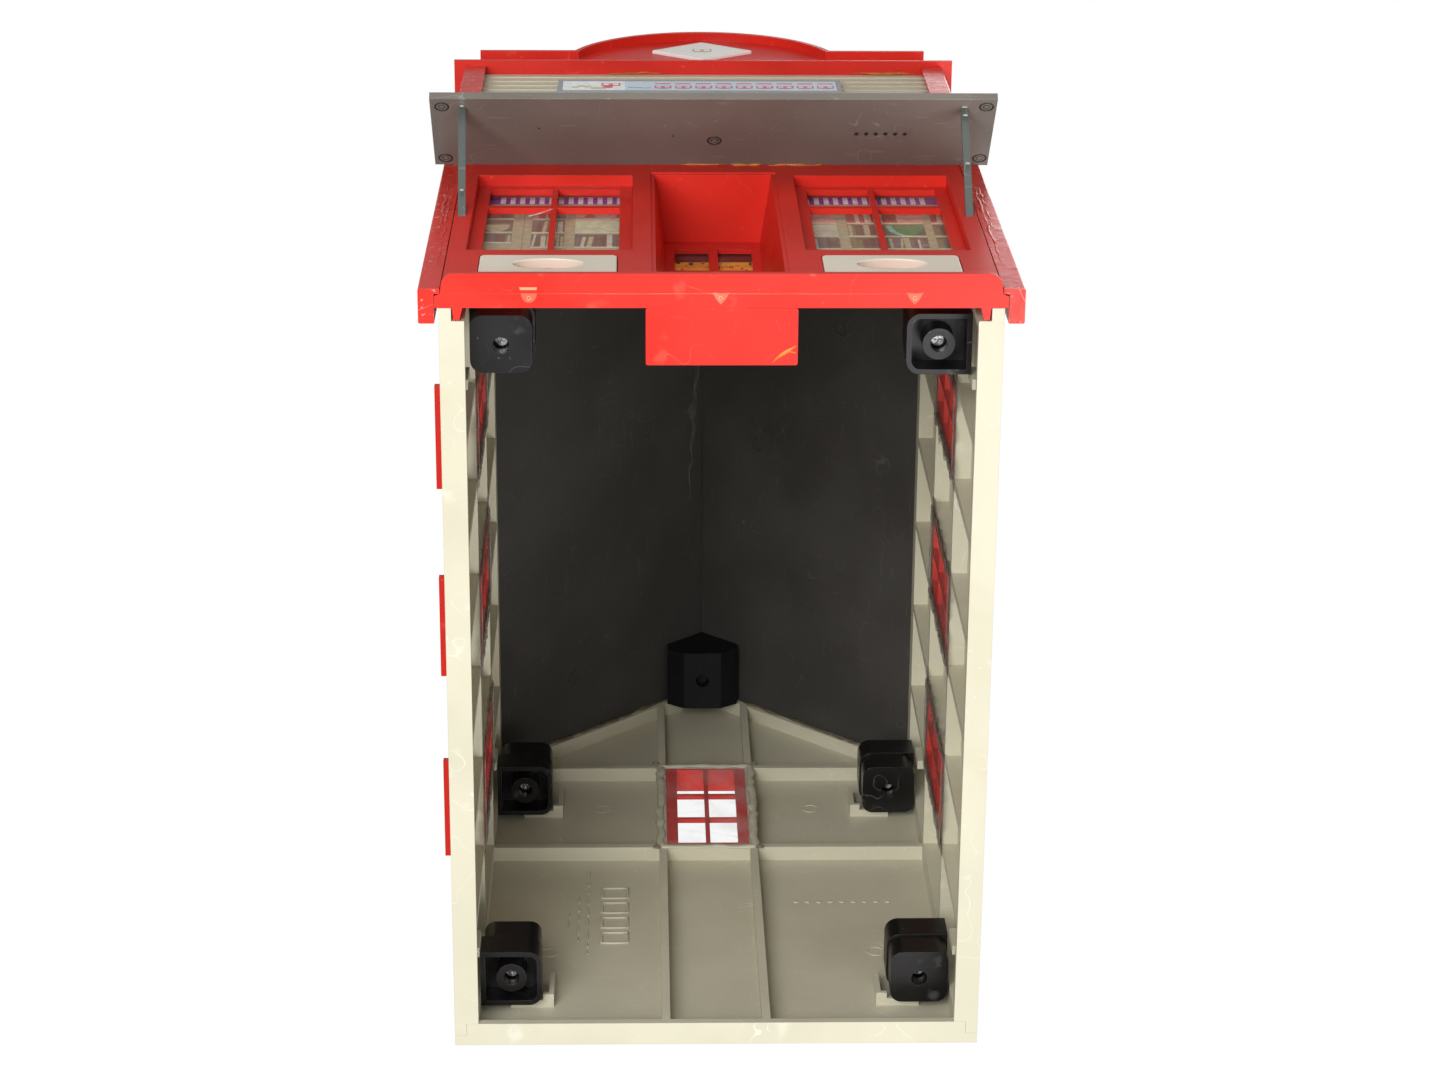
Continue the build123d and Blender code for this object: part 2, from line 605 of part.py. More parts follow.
def pediment():
    """Parapet whose coping rises over the middle as a round arch."""
    foot = CORNICE_Z + CORNICE_T
    field, lip = 3.5, -0.5
    rise = ARCH_TOP - COPING_TOP
    radius = (ARCH_HALF ** 2 + rise ** 2) / (2 * rise)
    centre_z = ARCH_TOP - radius
    under = COPING_TOP - CORNICE_T
    with BuildPart() as top:
        with BuildSketch(front_plane(field + 3)):
            with Locations((0, (foot + COPING_TOP) / 2)):
                Rectangle(2 * COPING_HALF, COPING_TOP - foot)
            with Locations((0, centre_z)):
                Circle(radius - 0.2)
            with Locations((0, foot - 100)):
                Rectangle(300, 200, mode=Mode.SUBTRACT)
        extrude(amount=3)
        with BuildSketch(front_plane(field + 4)):
            with Locations((0, centre_z)):
                Circle(radius)
                Circle(radius - CORNICE_T, mode=Mode.SUBTRACT)
            with Locations((0, under - 100)):
                Rectangle(300, 200, mode=Mode.SUBTRACT)
        extrude(amount=field + 4 - lip)
        arch_foot = math.sqrt(radius ** 2 - (under - centre_z) ** 2)
        for side in (-1, 1):
            block((side * (arch_foot - CORNICE_T), side * COPING_HALF), (lip, 9), (under, COPING_TOP))
    save(top.part, "pediment")
    middle_z, half_w, half_h = 413.0, 24.0, 18.5
    with BuildPart() as plate:
        with BuildSketch(front_plane(field - 0.02)):
            with BuildLine():
                Polyline(
                    (-half_w, middle_z), (0, middle_z + half_h), (half_w, middle_z), (0, middle_z - half_h),
                    close=True,
                )
            make_face()
        extrude(amount=1.6)
        chamfer(plate.faces().sort_by(Axis.Y)[0].edges(), 0.4)
    save(plate.part, "pediment_diamond")


def sign():
    """Name board on the upper front wall: a shallow tray and a printed panel in it."""
    middle_x, low, high, half = -2.5, 325.5, 348.5, 65.5
    tray_back, tray_front, rim = SIDING_DEPTH - 0.02, 1.7, 2.0
    with BuildPart() as tray:
        block((middle_x - half, middle_x + half), (tray_front, tray_back), (low, high))
        block((middle_x - half + rim, middle_x + half - rim), (tray_front - 1, tray_front + 0.8),
              (low + rim, high - rim), Mode.SUBTRACT)
    save(tray.part, "sign_board")
    with BuildPart() as face:
        block((middle_x - half + rim + 0.1, middle_x + half - rim - 0.1), (tray_front + 0.2, tray_front + 0.78),
              (low + rim + 0.1, high - rim - 0.1))
    save(face.part, "sign_face")


# ---------------------------------------------------------------- roof
SEAM_PITCH = 26.0


def roof_panel(side, name):
    """One slope of the roof, with standing seams on its outer face."""
    eave_x = HALF_W + SIDE_OVERHANG
    lift = ROOF_T / math.cos(math.radians(ROOF_PITCH))
    gap = 0.05
    depth_front, depth_back = FRONT_WALL_IN + 0.1, BODY_D + REAR_OVERHANG
    low = roof_line(eave_x) + gap
    with BuildPart() as panel:
        with BuildSketch(front_plane(depth_back)):
            with BuildLine():
                Polyline(
                    (side * gap, RIDGE_Z + gap), (side * eave_x, low),
                    (side * eave_x, low + lift), (side * gap, RIDGE_Z + gap + lift), close=True,
                )
            make_face()
        extrude(amount=depth_back - depth_front)
        count = int((depth_back - depth_front - 8) // SEAM_PITCH) + 1
        for index in range(count):
            seam = depth_front + 6 + index * SEAM_PITCH
            with BuildSketch(front_plane(seam + 1.2)):
                with BuildLine():
                    Polyline(
                        (side * 12, roof_line(12) + lift), (side * (eave_x - 0.2), roof_line(eave_x - 0.2) + lift),
                        (side * (eave_x - 0.2), roof_line(eave_x - 0.2) + lift + 1.6),
                        (side * 12, roof_line(12) + lift + 1.6), close=True,
                    )
                make_face()
            extrude(amount=1.2)
        block((side * (HALF_W + 1), side * 130), (0, 13.5), (0, RIDGE_Z), Mode.SUBTRACT)
    save(panel.part, name)


def ridge_cap():
    """Folded strip over the ridge."""
    lift = ROOF_T / math.cos(math.radians(ROOF_PITCH)) + 0.12
    thick = 1.6
    half = 11.5
    with BuildPart() as cap:
        with BuildSketch(front_plane(BODY_D + REAR_OVERHANG)):
            with BuildLine():
                Polyline(
                    (-half, roof_line(half) + lift), (0, RIDGE_Z + lift), (half, roof_line(half) + lift),
                    (half, roof_line(half) + lift + thick), (0, RIDGE_Z + lift + thick),
                    (-half, roof_line(half) + lift + thick), close=True,
                )
            make_face()
        extrude(amount=BODY_D + REAR_OVERHANG - FRONT_WALL_IN - 0.1)
    save(cap.part, "ridge_cap")


def ridge_block():
    """Black clamp that joins the roof panels to the gable under the ridge."""
    half = 17.0
    with BuildPart() as clamp:
        with BuildSketch(front_plane(306)):
            with BuildLine():
                Polyline(
                    (-9, 314), (9, 314), (half, 320), (half, roof_line(half) - 0.1),
                    (0, RIDGE_Z - 0.1), (-half, roof_line(half) - 0.1), (-half, 320), close=True,
                )
            make_face()
        extrude(amount=29)
        with BuildSketch(Plane.XY.offset(314)):
            with Locations((0, at(291.5))):
                Circle(3.2)
        extrude(amount=6, mode=Mode.SUBTRACT)
    save(clamp.part, "ridge_block")


# ---------------------------------------------------------------- corner clamps
CLAMP_IN = 70.5           # inner edge of a clamp, measured from the middle of the building
CLAMP_OUT = RIB_X - 0.1
CLAMP_LEN = 24.0
CLAMP_HALF_H = 14.5
CLAMP_WALL = 2.0
CLAMP_RADIUS = 5.5
CLAMP_FEET = (21.0, 201.0)
BRACKET = 4.6
BRACKET_T = 2.0
BRACKET_H = 19.0
BRACKET_FOOT = 4.6        # foot of a clamp to the foot of its bracket on the back wall
FRONT_CLAMP_DEPTH = 16.0
BACK_CLAMP_DEPTH = BODY_D - 6.5 - CLAMP_LEN
SCREW_R = 1.5
BORE_R = 1.6
HEAD_R = 2.4
HEAD_BORE_R = 3.25
HEAD_T = 1.9
HEAD_SEAT = 4.5           # from the parting plane of a clamp to the underside of the screw head
BOSS_R = 6.2
COVER_INSET = 0.7


def clamp_start(end):
    return FRONT_CLAMP_DEPTH if end == "front" else BACK_CLAMP_DEPTH


def clamp_slab(side, end, z, height, inset=0.0, mode=Mode.ADD, all_round=False):
    """Clamp-shaped slab: a rectangle in plan with its inner corners, or all of them, rounded."""
    centre = (side * (CLAMP_IN + CLAMP_OUT) / 2, at(clamp_start(end) + CLAMP_LEN / 2))
    with BuildSketch(Plane.XY.offset(z)) as plan:
        with Locations(centre):
            Rectangle(CLAMP_OUT - CLAMP_IN - 2 * inset, CLAMP_LEN - 2 * inset)
        corners = vertices().filter_by(lambda v: all_round or abs(v.X) < abs(centre[0]))
        fillet(corners, CLAMP_RADIUS - inset)
    extrude(plan.sketch, amount=height, mode=mode)


def peg(place, radius, z, height, mode=Mode.ADD):
    """Upright cylinder that starts at z; a negative height runs downwards."""
    with BuildSketch(Plane.XY.offset(z)) as plan:
        with Locations(place):
            Circle(radius)
    extrude(plan.sketch, amount=height, mode=mode)


def clamp_screw_at(side, end):
    return (side * (CLAMP_IN + CLAMP_OUT) / 2, at(clamp_start(end) + CLAMP_LEN / 2 + 0.5))


def clamp_cup(side, end, foot, opens_down):
    """Half with an open cavity and a round boss for the screw, added to the current part."""
    way = -1 if opens_down else 1
    floor_z = foot + CLAMP_HALF_H if opens_down else foot + CLAMP_HALF_H + 0.05
    screw = clamp_screw_at(side, end)
    clamp_slab(side, end, floor_z, way * (CLAMP_HALF_H - 0.05))
    clamp_slab(side, end, floor_z + way * CLAMP_WALL, way * CLAMP_HALF_H, CLAMP_WALL, Mode.SUBTRACT)
    peg(screw, BOSS_R, floor_z, way * (CLAMP_HALF_H - 2))
    peg(screw, BORE_R, floor_z, way * CLAMP_HALF_H, Mode.SUBTRACT)
    peg(screw, HEAD_BORE_R, floor_z + way * HEAD_SEAT, way * CLAMP_HALF_H, Mode.SUBTRACT)


def clamp_cover(side, end, foot, opens_down):
    """Closed half, with a counterbore for the screw, added to the current part."""
    way = 1 if opens_down else -1
    start_z = foot + CLAMP_HALF_H + 0.05 if opens_down else foot + CLAMP_HALF_H
    screw = clamp_screw_at(side, end)
    clamp_slab(side, end, start_z, way * (CLAMP_HALF_H - 0.05), COVER_INSET, all_round=True)
    peg(screw, BORE_R, start_z, way * CLAMP_HALF_H, Mode.SUBTRACT)
    peg(screw, HEAD_BORE_R, start_z + way * HEAD_SEAT, way * CLAMP_HALF_H, Mode.SUBTRACT)


CLAMPS = (("front", -1, "left", False), ("front", 1, "right", True),
          ("back", -1, "left", True), ("back", 1, "right", False))


def corner_clamps():
    """Two-part clamps in the four corners, each corner with a lower and an upper one."""
    for end, side, word, opens_down in CLAMPS:
        with BuildPart() as cups:
            for foot in CLAMP_FEET:
                clamp_cup(side, end, foot, opens_down)
        save(cups.part, f"{end}_{word}_clamp_cups")
        with BuildPart() as covers:
            for foot in CLAMP_FEET:
                clamp_cover(side, end, foot, opens_down)
        save(covers.part, f"{end}_{word}_clamp_covers")


def clamp_screws():
    """Cross-head screws, one through each corner clamp."""
    with BuildPart() as screws:
        for end, side, word, opens_down in CLAMPS:
            for foot in CLAMP_FEET:
                head_z = foot + CLAMP_HALF_H - HEAD_SEAT - 0.02
                place = clamp_screw_at(side, end)
                peg(place, HEAD_R, head_z, -HEAD_T)
                with BuildSketch(Plane.XY.offset(head_z - HEAD_T)):
                    with Locations(place):
                        Rectangle(3.2, 0.7)
                        Rectangle(0.7, 3.2)
                extrude(amount=1.0, mode=Mode.SUBTRACT)
                peg(place, SCREW_R, head_z - 0.2, 2 * HEAD_SEAT)
    save(screws.part, "clamp_screws")


# ---------------------------------------------------------------- build
side_wall(-1, "left_side_wall")
side_wall(1, "right_side_wall")
back_wall()
upper_front_wall()
window_frames()
window_glazing()
shopfront_frame()
entry_vestibule()
entry_door()
shop_windows()
kick_panels()
plinth()
corner_trims()
canopy()
canopy_struts()
cornice()
pediment()
sign()
roof_panel(-1, "left_roof_panel")
roof_panel(1, "right_roof_panel")
ridge_cap()
ridge_block()
corner_clamps()
clamp_screws()
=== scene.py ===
"""Looks for the false-front bookshop model: materials, small mesh details, light and camera."""
import json
import math
import random

import bmesh
import bpy
from mathutils import Matrix, Vector, noise


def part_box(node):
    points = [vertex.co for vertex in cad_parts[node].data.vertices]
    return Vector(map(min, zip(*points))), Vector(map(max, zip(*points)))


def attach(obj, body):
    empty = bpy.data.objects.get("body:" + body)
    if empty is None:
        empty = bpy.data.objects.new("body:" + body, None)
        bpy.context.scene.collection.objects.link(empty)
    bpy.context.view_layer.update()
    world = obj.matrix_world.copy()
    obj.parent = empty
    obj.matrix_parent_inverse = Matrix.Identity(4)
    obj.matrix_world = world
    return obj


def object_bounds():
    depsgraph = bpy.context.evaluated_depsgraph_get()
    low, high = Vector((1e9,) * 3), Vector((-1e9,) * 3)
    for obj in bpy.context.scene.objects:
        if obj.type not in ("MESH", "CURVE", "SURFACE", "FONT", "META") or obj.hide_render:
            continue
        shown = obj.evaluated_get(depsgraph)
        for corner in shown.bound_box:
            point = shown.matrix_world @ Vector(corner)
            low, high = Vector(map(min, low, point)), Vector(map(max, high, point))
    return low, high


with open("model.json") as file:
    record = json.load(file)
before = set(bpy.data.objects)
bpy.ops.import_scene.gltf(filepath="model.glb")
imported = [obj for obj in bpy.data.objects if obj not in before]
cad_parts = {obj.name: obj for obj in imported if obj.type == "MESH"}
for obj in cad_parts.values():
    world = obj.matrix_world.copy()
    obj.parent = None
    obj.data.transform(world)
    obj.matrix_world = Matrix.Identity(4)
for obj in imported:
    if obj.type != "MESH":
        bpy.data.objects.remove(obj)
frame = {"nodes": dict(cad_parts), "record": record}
CAD_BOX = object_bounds()
NODES = frame["nodes"]
MM = 0.001

# ---------------------------------------------------------------- places read from the frame
FRONT_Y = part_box("left_corner_trim")[0].y          # front face of the corner trims
WALL_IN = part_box("right_side_wall")[0].x           # rib faces of the side walls
ROOF_PITCH = math.radians(43)
EAVE_Z = 253 * MM                                  # underside of the roof at the rib faces
BACK_RIB_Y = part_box("back_window_glazing")[1].y    # rib faces of the back wall
BACK_SKIN_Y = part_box("back_wall")[1].y - 3.0 * MM
OPENING_W, OPENING_H = 37 * MM, 81 * MM            # every house window
SILL_BELOW = 6.7 * MM                              # a frame's sill reaches this far below its opening
CANOPY_WALL_Z = 183.6                              # millimetres: underside of the canopy at the wall
CANOPY_RUN, CANOPY_DROP = 35.6, 32.3
STRUT_FOOT = (101.0, 101.5)                        # x and z of a strut's foot, in millimetres
STRUT_SPLAY, STRUT_REACH, STRUT_RISE = 1.9, 31.0, 54.0


def place(x, depth, z):
    """A point from millimetres: x, depth behind the front face, and height."""
    return Vector((x * MM, FRONT_Y + depth * MM, z * MM))


# ---------------------------------------------------------------- camera
CAMERA_PLACE = Vector((-0.0312, -0.4973, -1.1951))
CAMERA_LOOK = Vector((0.02504, 0.35438, 0.93477))
CAMERA_UP = Vector((0.00151, -0.93507, 0.35445))
LENS_MM = 83.85


def make_camera():
    data = bpy.data.cameras.new("camera")
    data.sensor_fit = "HORIZONTAL"
    data.sensor_width = 36.0
    data.lens = LENS_MM
    data.clip_start = 0.01
    data.clip_end = 50.0
    camera = bpy.data.objects.new("camera", data)
    bpy.context.scene.collection.objects.link(camera)
    back = -CAMERA_LOOK.normalized()
    right = CAMERA_UP.cross(back).normalized()
    up = back.cross(right)
    rotation = Matrix((right, up, back)).transposed()
    camera.matrix_world = Matrix.Translation(CAMERA_PLACE) @ rotation.to_4x4()
    bpy.context.scene.camera = camera


# ---------------------------------------------------------------- material building blocks
def rgb(red, green, blue):
    """Linear colour from the usual 0 to 255 values."""
    channels = [value / 255 for value in (red, green, blue)]
    return tuple(c / 12.92 if c <= 0.04045 else ((c + 0.055) / 1.055) ** 2.4 for c in channels)


def tint(colour, factor):
    return tuple(min(1.0, channel * factor) for channel in colour)


class Look:
    """One Principled material and short calls for the nodes that feed it."""

    def __init__(self, name, **settings):
        self.material = bpy.data.materials.new(name)
        self.material.use_nodes = True
        self.tree = self.material.node_tree
        self.tree.nodes.clear()
        self.shader = self.tree.nodes.new("ShaderNodeBsdfPrincipled")
        output = self.tree.nodes.new("ShaderNodeOutputMaterial")
        self.tree.links.new(self.shader.outputs["BSDF"], output.inputs["Surface"])
        self.here = self.tree.nodes.new("ShaderNodeTexCoord").outputs["Object"]
        for key, value in settings.items():
            self.set(key.replace("_", " "), value)

    def feed(self, socket, value):
        if isinstance(value, bpy.types.NodeSocket):
            self.tree.links.new(value, socket)
        elif isinstance(value, tuple) and len(value) == 3 and socket.type == "RGBA":
            socket.default_value = (*value, 1.0)
        else:
            socket.default_value = value

    def set(self, name, value):
        self.feed(self.shader.inputs[name], value)

    def noise(self, scale, detail=2.0, stretch=None, turn=(0, 0, 0), shift=0.0):
        """Cloudy value from 0 to 1, centred on 0.5; scale is features to a metre."""
        texture = self.tree.nodes.new("ShaderNodeTexNoise")
        texture.inputs["Scale"].default_value = scale
        texture.inputs["Detail"].default_value = detail
        mapping = self.tree.nodes.new("ShaderNodeMapping")
        mapping.inputs["Location"].default_value = (shift, shift, shift)
        mapping.inputs["Rotation"].default_value = turn
        mapping.inputs["Scale"].default_value = stretch or (1, 1, 1)
        self.tree.links.new(self.here, mapping.inputs["Vector"])
        self.tree.links.new(mapping.outputs["Vector"], texture.inputs["Vector"])
        return texture.outputs["Fac"]

    def math(self, operation, first, second=0.0):
        node = self.tree.nodes.new("ShaderNodeMath")
        node.operation = operation
        self.feed(node.inputs[0], first)
        self.feed(node.inputs[1], second)
        return node.outputs[0]

    def span(self, value, low, high, start=0.0, end=1.0):
        """Smooth step of a value from low..high to start..end."""
        node = self.tree.nodes.new("ShaderNodeMapRange")
        node.interpolation_type = "SMOOTHSTEP"
        self.feed(node.inputs["Value"], value)
        for name, number in (("From Min", low), ("From Max", high), ("To Min", start), ("To Max", end)):
            node.inputs[name].default_value = number
        return node.outputs["Result"]

    def blend(self, amount, first, second):
        node = self.tree.nodes.new("ShaderNodeMix")
        node.data_type = "RGBA"
        self.feed(node.inputs[0], amount)
        self.feed(node.inputs[6], first)
        self.feed(node.inputs[7], second)
        return node.outputs[2]

    def arcs(self, scale, width, shift=0.0):
        """Thin curved scratches: the lines where a cloud passes through its middle value."""
        cloud = self.noise(scale, 1.0, shift=shift)
        distance = self.math("ABSOLUTE", self.math("SUBTRACT", cloud, 0.5))
        return self.span(distance, 0.0, width, 1.0, 0.0)

    def rounded(self, radius):
        """Normal that rounds sharp edges by a small radius."""
        bevel = self.tree.nodes.new("ShaderNodeBevel")
        bevel.samples = 3
        bevel.inputs["Radius"].default_value = radius
        return bevel.outputs["Normal"]

    def edges(self, rounded):
        """0 on flat faces, 1 on edges."""
        geometry = self.tree.nodes.new("ShaderNodeNewGeometry")
        dot = self.tree.nodes.new("ShaderNodeVectorMath")
        dot.operation = "DOT_PRODUCT"
        self.tree.links.new(rounded, dot.inputs[0])
        self.tree.links.new(geometry.outputs["Normal"], dot.inputs[1])
        return self.span(dot.outputs["Value"], 0.80, 0.99, 1.0, 0.0)

    def bump(self, height, distance, strength=1.0, normal=None):
        node = self.tree.nodes.new("ShaderNodeBump")
        node.inputs["Distance"].default_value = distance
        node.inputs["Strength"].default_value = strength
        self.feed(node.inputs["Height"], height)
        if normal is not None:
            self.tree.links.new(normal, node.inputs["Normal"])
        return node.outputs["Normal"]


def moulded(name, colour, roughness, scuff_and_glint_colour, scuffing=0.5, edge_wear_and_highlight=0.3, mottle=0.07, dirt=None, lumps=0.0,
            edge_radius=0.25 * MM, gate=(0.50, 0.62), shine=0.5, speckle=0.74):
    """Injection-moulded plastic: faint flow clouds, curved scratches, lighter worn edges, fine grain. A
    strong edge amount with a pale edge colour also paints an edge highlight.
    """
    look = Look(name)
    look.set("Specular IOR Level", shine)
    cloud = look.noise(24, 4)
    shade = look.blend(look.span(cloud, 0.32, 0.68), tint(colour, 1 - mottle), tint(colour, 1 + mottle))
    if dirt:
        stain = look.span(look.noise(13, 5, shift=3.0), 0.52, 0.72, 0.0, 0.55)
        shade = look.blend(stain, shade, dirt)
    scratched = look.math("MULTIPLY", look.arcs(60, 0.006), look.span(look.noise(35, 2, shift=1.0), *gate))
    streaks = look.span(look.noise(55, 3, stretch=(1, 1, 14), turn=(0.3, 0.5, 0.2)), 0.66, 0.74, 0.0, 0.6)
    specks = look.span(look.noise(420, 1, shift=2.0), speckle, speckle + 0.04, 0.0, 0.7)
    rounded = look.rounded(edge_radius)
    # Lighter edge colour: real worn edges, and with a strong edge amount also a painted edge highlight.
    worn_and_glinting_edges = look.math("MULTIPLY", look.edges(rounded), look.span(look.noise(130, 3), 0.35, 0.6, 0.3, 1.0))
    marks = look.math("MAXIMUM", look.math("MAXIMUM", scratched, streaks), specks)
    marks = look.math("MULTIPLY", marks, scuffing)
    marks = look.math("MAXIMUM", marks, look.math("MULTIPLY", worn_and_glinting_edges, edge_wear_and_highlight))
    look.set("Base Color", look.blend(marks, shade, scuff_and_glint_colour))
    dull = look.math("ADD", look.span(cloud, 0.3, 0.7, roughness - 0.06, roughness + 0.06),
                     look.math("MULTIPLY", marks, 0.22))
    look.set("Roughness", dull)
    surface = look.bump(look.noise(900, 2), 0.02 * MM, 0.5, rounded)
    if lumps:
        surface = look.bump(look.noise(170, 3, shift=5.0), lumps, 0.8, surface)
    look.set("Normal", surface)
    return look.material


def clear_sheet(name, colour, alpha, haze):
    """Clear plastic sheet with a grey bloom of glue fumes and fine scratches."""
    look = Look(name, Roughness=0.12)
    look.set("Base Color", colour)
    bloom = look.span(look.noise(48, 4), 0.42, 0.7, alpha, haze)
    scratch = look.math("MULTIPLY", look.arcs(45, 0.005), 0.35)
    look.set("Alpha", look.math("MAXIMUM", bloom, scratch))
    look.set("Normal", look.bump(look.noise(30, 2), 0.15 * MM, 0.3))
    return look.material


def dried_glue(name, colour, alpha, roughness=0.14):
    """Cloudy beads of solvent glue."""
    look = Look(name)
    cloud = look.noise(150, 4)
    look.set("Base Color", look.blend(cloud, tint(colour, 0.7), tint(colour, 1.25)))
    look.set("Alpha", look.span(cloud, 0.3, 0.7, alpha * 0.75, min(1.0, alpha * 1.2)))
    look.set("Roughness", look.span(look.noise(300, 2), 0.3, 0.7, roughness, roughness + 0.25))
    look.set("Normal", look.bump(look.noise(420, 3), 0.12 * MM))
    return look.material


def printed(name, colour, spread=0.16):
    """Ink on card: slightly uneven print over fine paper fibre."""
    look = Look(name)
    fibre = look.noise(2600, 2, stretch=(1, 1, 0.35))
    blot = look.noise(260, 3)
    tone = look.math("ADD", look.math("MULTIPLY", fibre, 0.45), look.math("MULTIPLY", blot, 0.55))
    darker, lighter = tint(colour, 1 - spread), tint(colour, 1 + spread)
    look.set("Base Color", look.blend(look.span(tone, 0.35, 0.65), darker, lighter))
    look.set("Roughness", look.span(fibre, 0.3, 0.7, 0.42, 0.6))
    look.set("Normal", look.bump(fibre, 0.01 * MM, 0.4))
    return look.material


def zinc(name):
    """Bright screw steel with turned scratches."""
    look = Look(name, Metallic=1.0)
    grain = look.noise(900, 3, stretch=(1, 1, 6))
    look.set("Base Color", look.blend(grain, rgb(96, 96, 98), rgb(190, 190, 188)))
    look.set("Roughness", look.span(grain, 0.3, 0.7, 0.18, 0.4))
    look.set("Normal", look.bump(grain, 0.03 * MM, 0.5))
    return look.material


# ---------------------------------------------------------------- materials
RED = rgb(206, 37, 24)
BEIGE = rgb(194, 190, 168)
LOOKS = {
    "beige_plastic": moulded("beige", BEIGE, 0.42, rgb(236, 233, 222), 0.35, 0.3, 0.03,
                             dirt=rgb(186, 176, 148)),
    "red_plastic": moulded("red", RED, 0.36, rgb(240, 120, 100), 0.3, 0.28, 0.06, shine=0.32),
    "roof_plastic": moulded("roof", rgb(60, 58, 55), 0.55, rgb(120, 119, 116), 0.2, 0.22, 0.10,
                            dirt=rgb(48, 45, 42), shine=0.35),
    # Canopy: the pale grey-green edge colour at a strong edge amount is a painted highlight for glare on its
    # edges, over some real worn edges.
    "canopy_plastic": moulded("canopy", rgb(115, 109, 102), 0.42, rgb(196, 202, 194), 0.22, 0.85, 0.08,
                              dirt=rgb(100, 92, 85), shine=0.4),
    "black_plastic": moulded("black", rgb(17, 15, 15), 0.34, rgb(150, 146, 146), 0.25, 0.30, 0.2, shine=0.4),
    "cream_plastic": moulded("cream", rgb(228, 218, 200), 0.38, rgb(246, 242, 234), 0.3, 0.25, 0.03,
                             dirt=rgb(214, 196, 170)),
    "clear_plastic": clear_sheet("clear", rgb(206, 202, 198), 0.03, 0.09),
    "printed_card": printed("card", rgb(186, 168, 132)),
    "sign_grey_plastic": moulded("sign_grey", rgb(150, 155, 158), 0.5, rgb(200, 204, 205), 0.3, 0.3),
    "white_plastic": moulded("white", rgb(238, 234, 230), 0.4, rgb(205, 196, 190), 0.3, 0.15, 0.02),
    "steel": zinc("screw_steel"),
}
SPECIAL = {
    "trims": moulded("red_trim", RED, 0.28, rgb(244, 186, 176), 0.5, 0.35, 0.08, lumps=0.22 * MM,
                     gate=(0.44, 0.56), shine=0.4, speckle=0.68),
    "struts": moulded("strut_grey", rgb(84, 91, 86), 0.36, rgb(180, 185, 178), 0.4, 0.25, 0.08),
    "ridge_block": moulded("ridge_black", rgb(16, 16, 20), 0.6, rgb(70, 68, 72), 0.2, 0.15, 0.15, shine=0.25),
    "sign_face": printed("sign_blue", rgb(204, 220, 230), 0.05),
    "house_glazing": clear_sheet("house_clear", rgb(150, 112, 108), 0.22, 0.46),
    "back_glazing": clear_sheet("back_clear", rgb(232, 226, 224), 0.05, 0.16),
    "door_card": printed("door_card", rgb(120, 22, 18)),
}
NODE_LOOKS = {
    "left_corner_trim": "trims",
    "right_corner_trim": "trims",
    "left_canopy_strut": "struts",
    "right_canopy_strut": "struts",
    "ridge_block": "ridge_block",
    "sign_face": "sign_face",
    "left_window_glazing": "house_glazing",
    "right_window_glazing": "house_glazing",
    "back_window_glazing": "back_glazing",
    "door_print_card": "door_card",
}


def dress_nodes():
    slots = {entry["node"]: entry["material_slot"] for entry in frame["record"]["subparts"]}
    for name, node in NODES.items():
        material = SPECIAL[NODE_LOOKS[name]] if name in NODE_LOOKS else LOOKS[slots[name]]
        for slot in node.material_slots:
            slot.material = material


# ---------------------------------------------------------------- mesh building blocks
def finish_piece(name, bm, materials, smooth=False):
    """Turns a bmesh into a piece that rides on the building."""
    bmesh.ops.recalc_face_normals(bm, faces=bm.faces)
    mesh = bpy.data.meshes.new(name)
    bm.to_mesh(mesh)
    bm.free()
    for material in materials:
        mesh.materials.append(material)
    for polygon in mesh.polygons:
        polygon.use_smooth = smooth
    piece = bpy.data.objects.new(name, mesh)
    bpy.context.scene.collection.objects.link(piece)
    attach(piece, "root")
    return piece


def prism(bm, outline, rise, ink=0):
    """Flat shape with a little thickness: an outline of points, raised by a vector."""
    low = [bm.verts.new(point) for point in outline]
    high = [bm.verts.new(point + rise) for point in outline]
    faces = [bm.faces.new(low), bm.faces.new(high)]
    for index in range(len(low)):
        after = (index + 1) % len(low)
        faces.append(bm.faces.new((low[index], low[after], high[after], high[index])))
    for face in faces:
        face.material_index = ink


def arc_path(centre, normal, radius, start=0.0, sweep=2 * math.pi, steps=40):
    """Points round a centre in the plane across a normal."""
    side = normal.orthogonal().normalized()
    other = normal.cross(side).normalized()
    count = steps if sweep >= 2 * math.pi else steps + 1
    angles = [start + sweep * index / steps for index in range(count)]
    return [centre + radius * (math.cos(a) * side + math.sin(a) * other) for a in angles]


def box_path(centre, across, up, width, height, step=2.5 * MM):
    """Closed rectangle of evenly spaced points."""
    corners = [(-1, -1), (1, -1), (1, 1), (-1, 1)]
    points = []
    for index, (a, b) in enumerate(corners):
        c, d = corners[(index + 1) % 4]
        start = centre + across * a * width / 2 + up * b * height / 2
        end = centre + across * c * width / 2 + up * d * height / 2
        count = max(2, round((end - start).length / step))
        points += [start.lerp(end, k / count) for k in range(count)]
    return points


def line_path(start, end, step=2.5 * MM):
    count = max(2, round((end - start).length / step))
    return [start.lerp(end, k / count) for k in range(count + 1)]


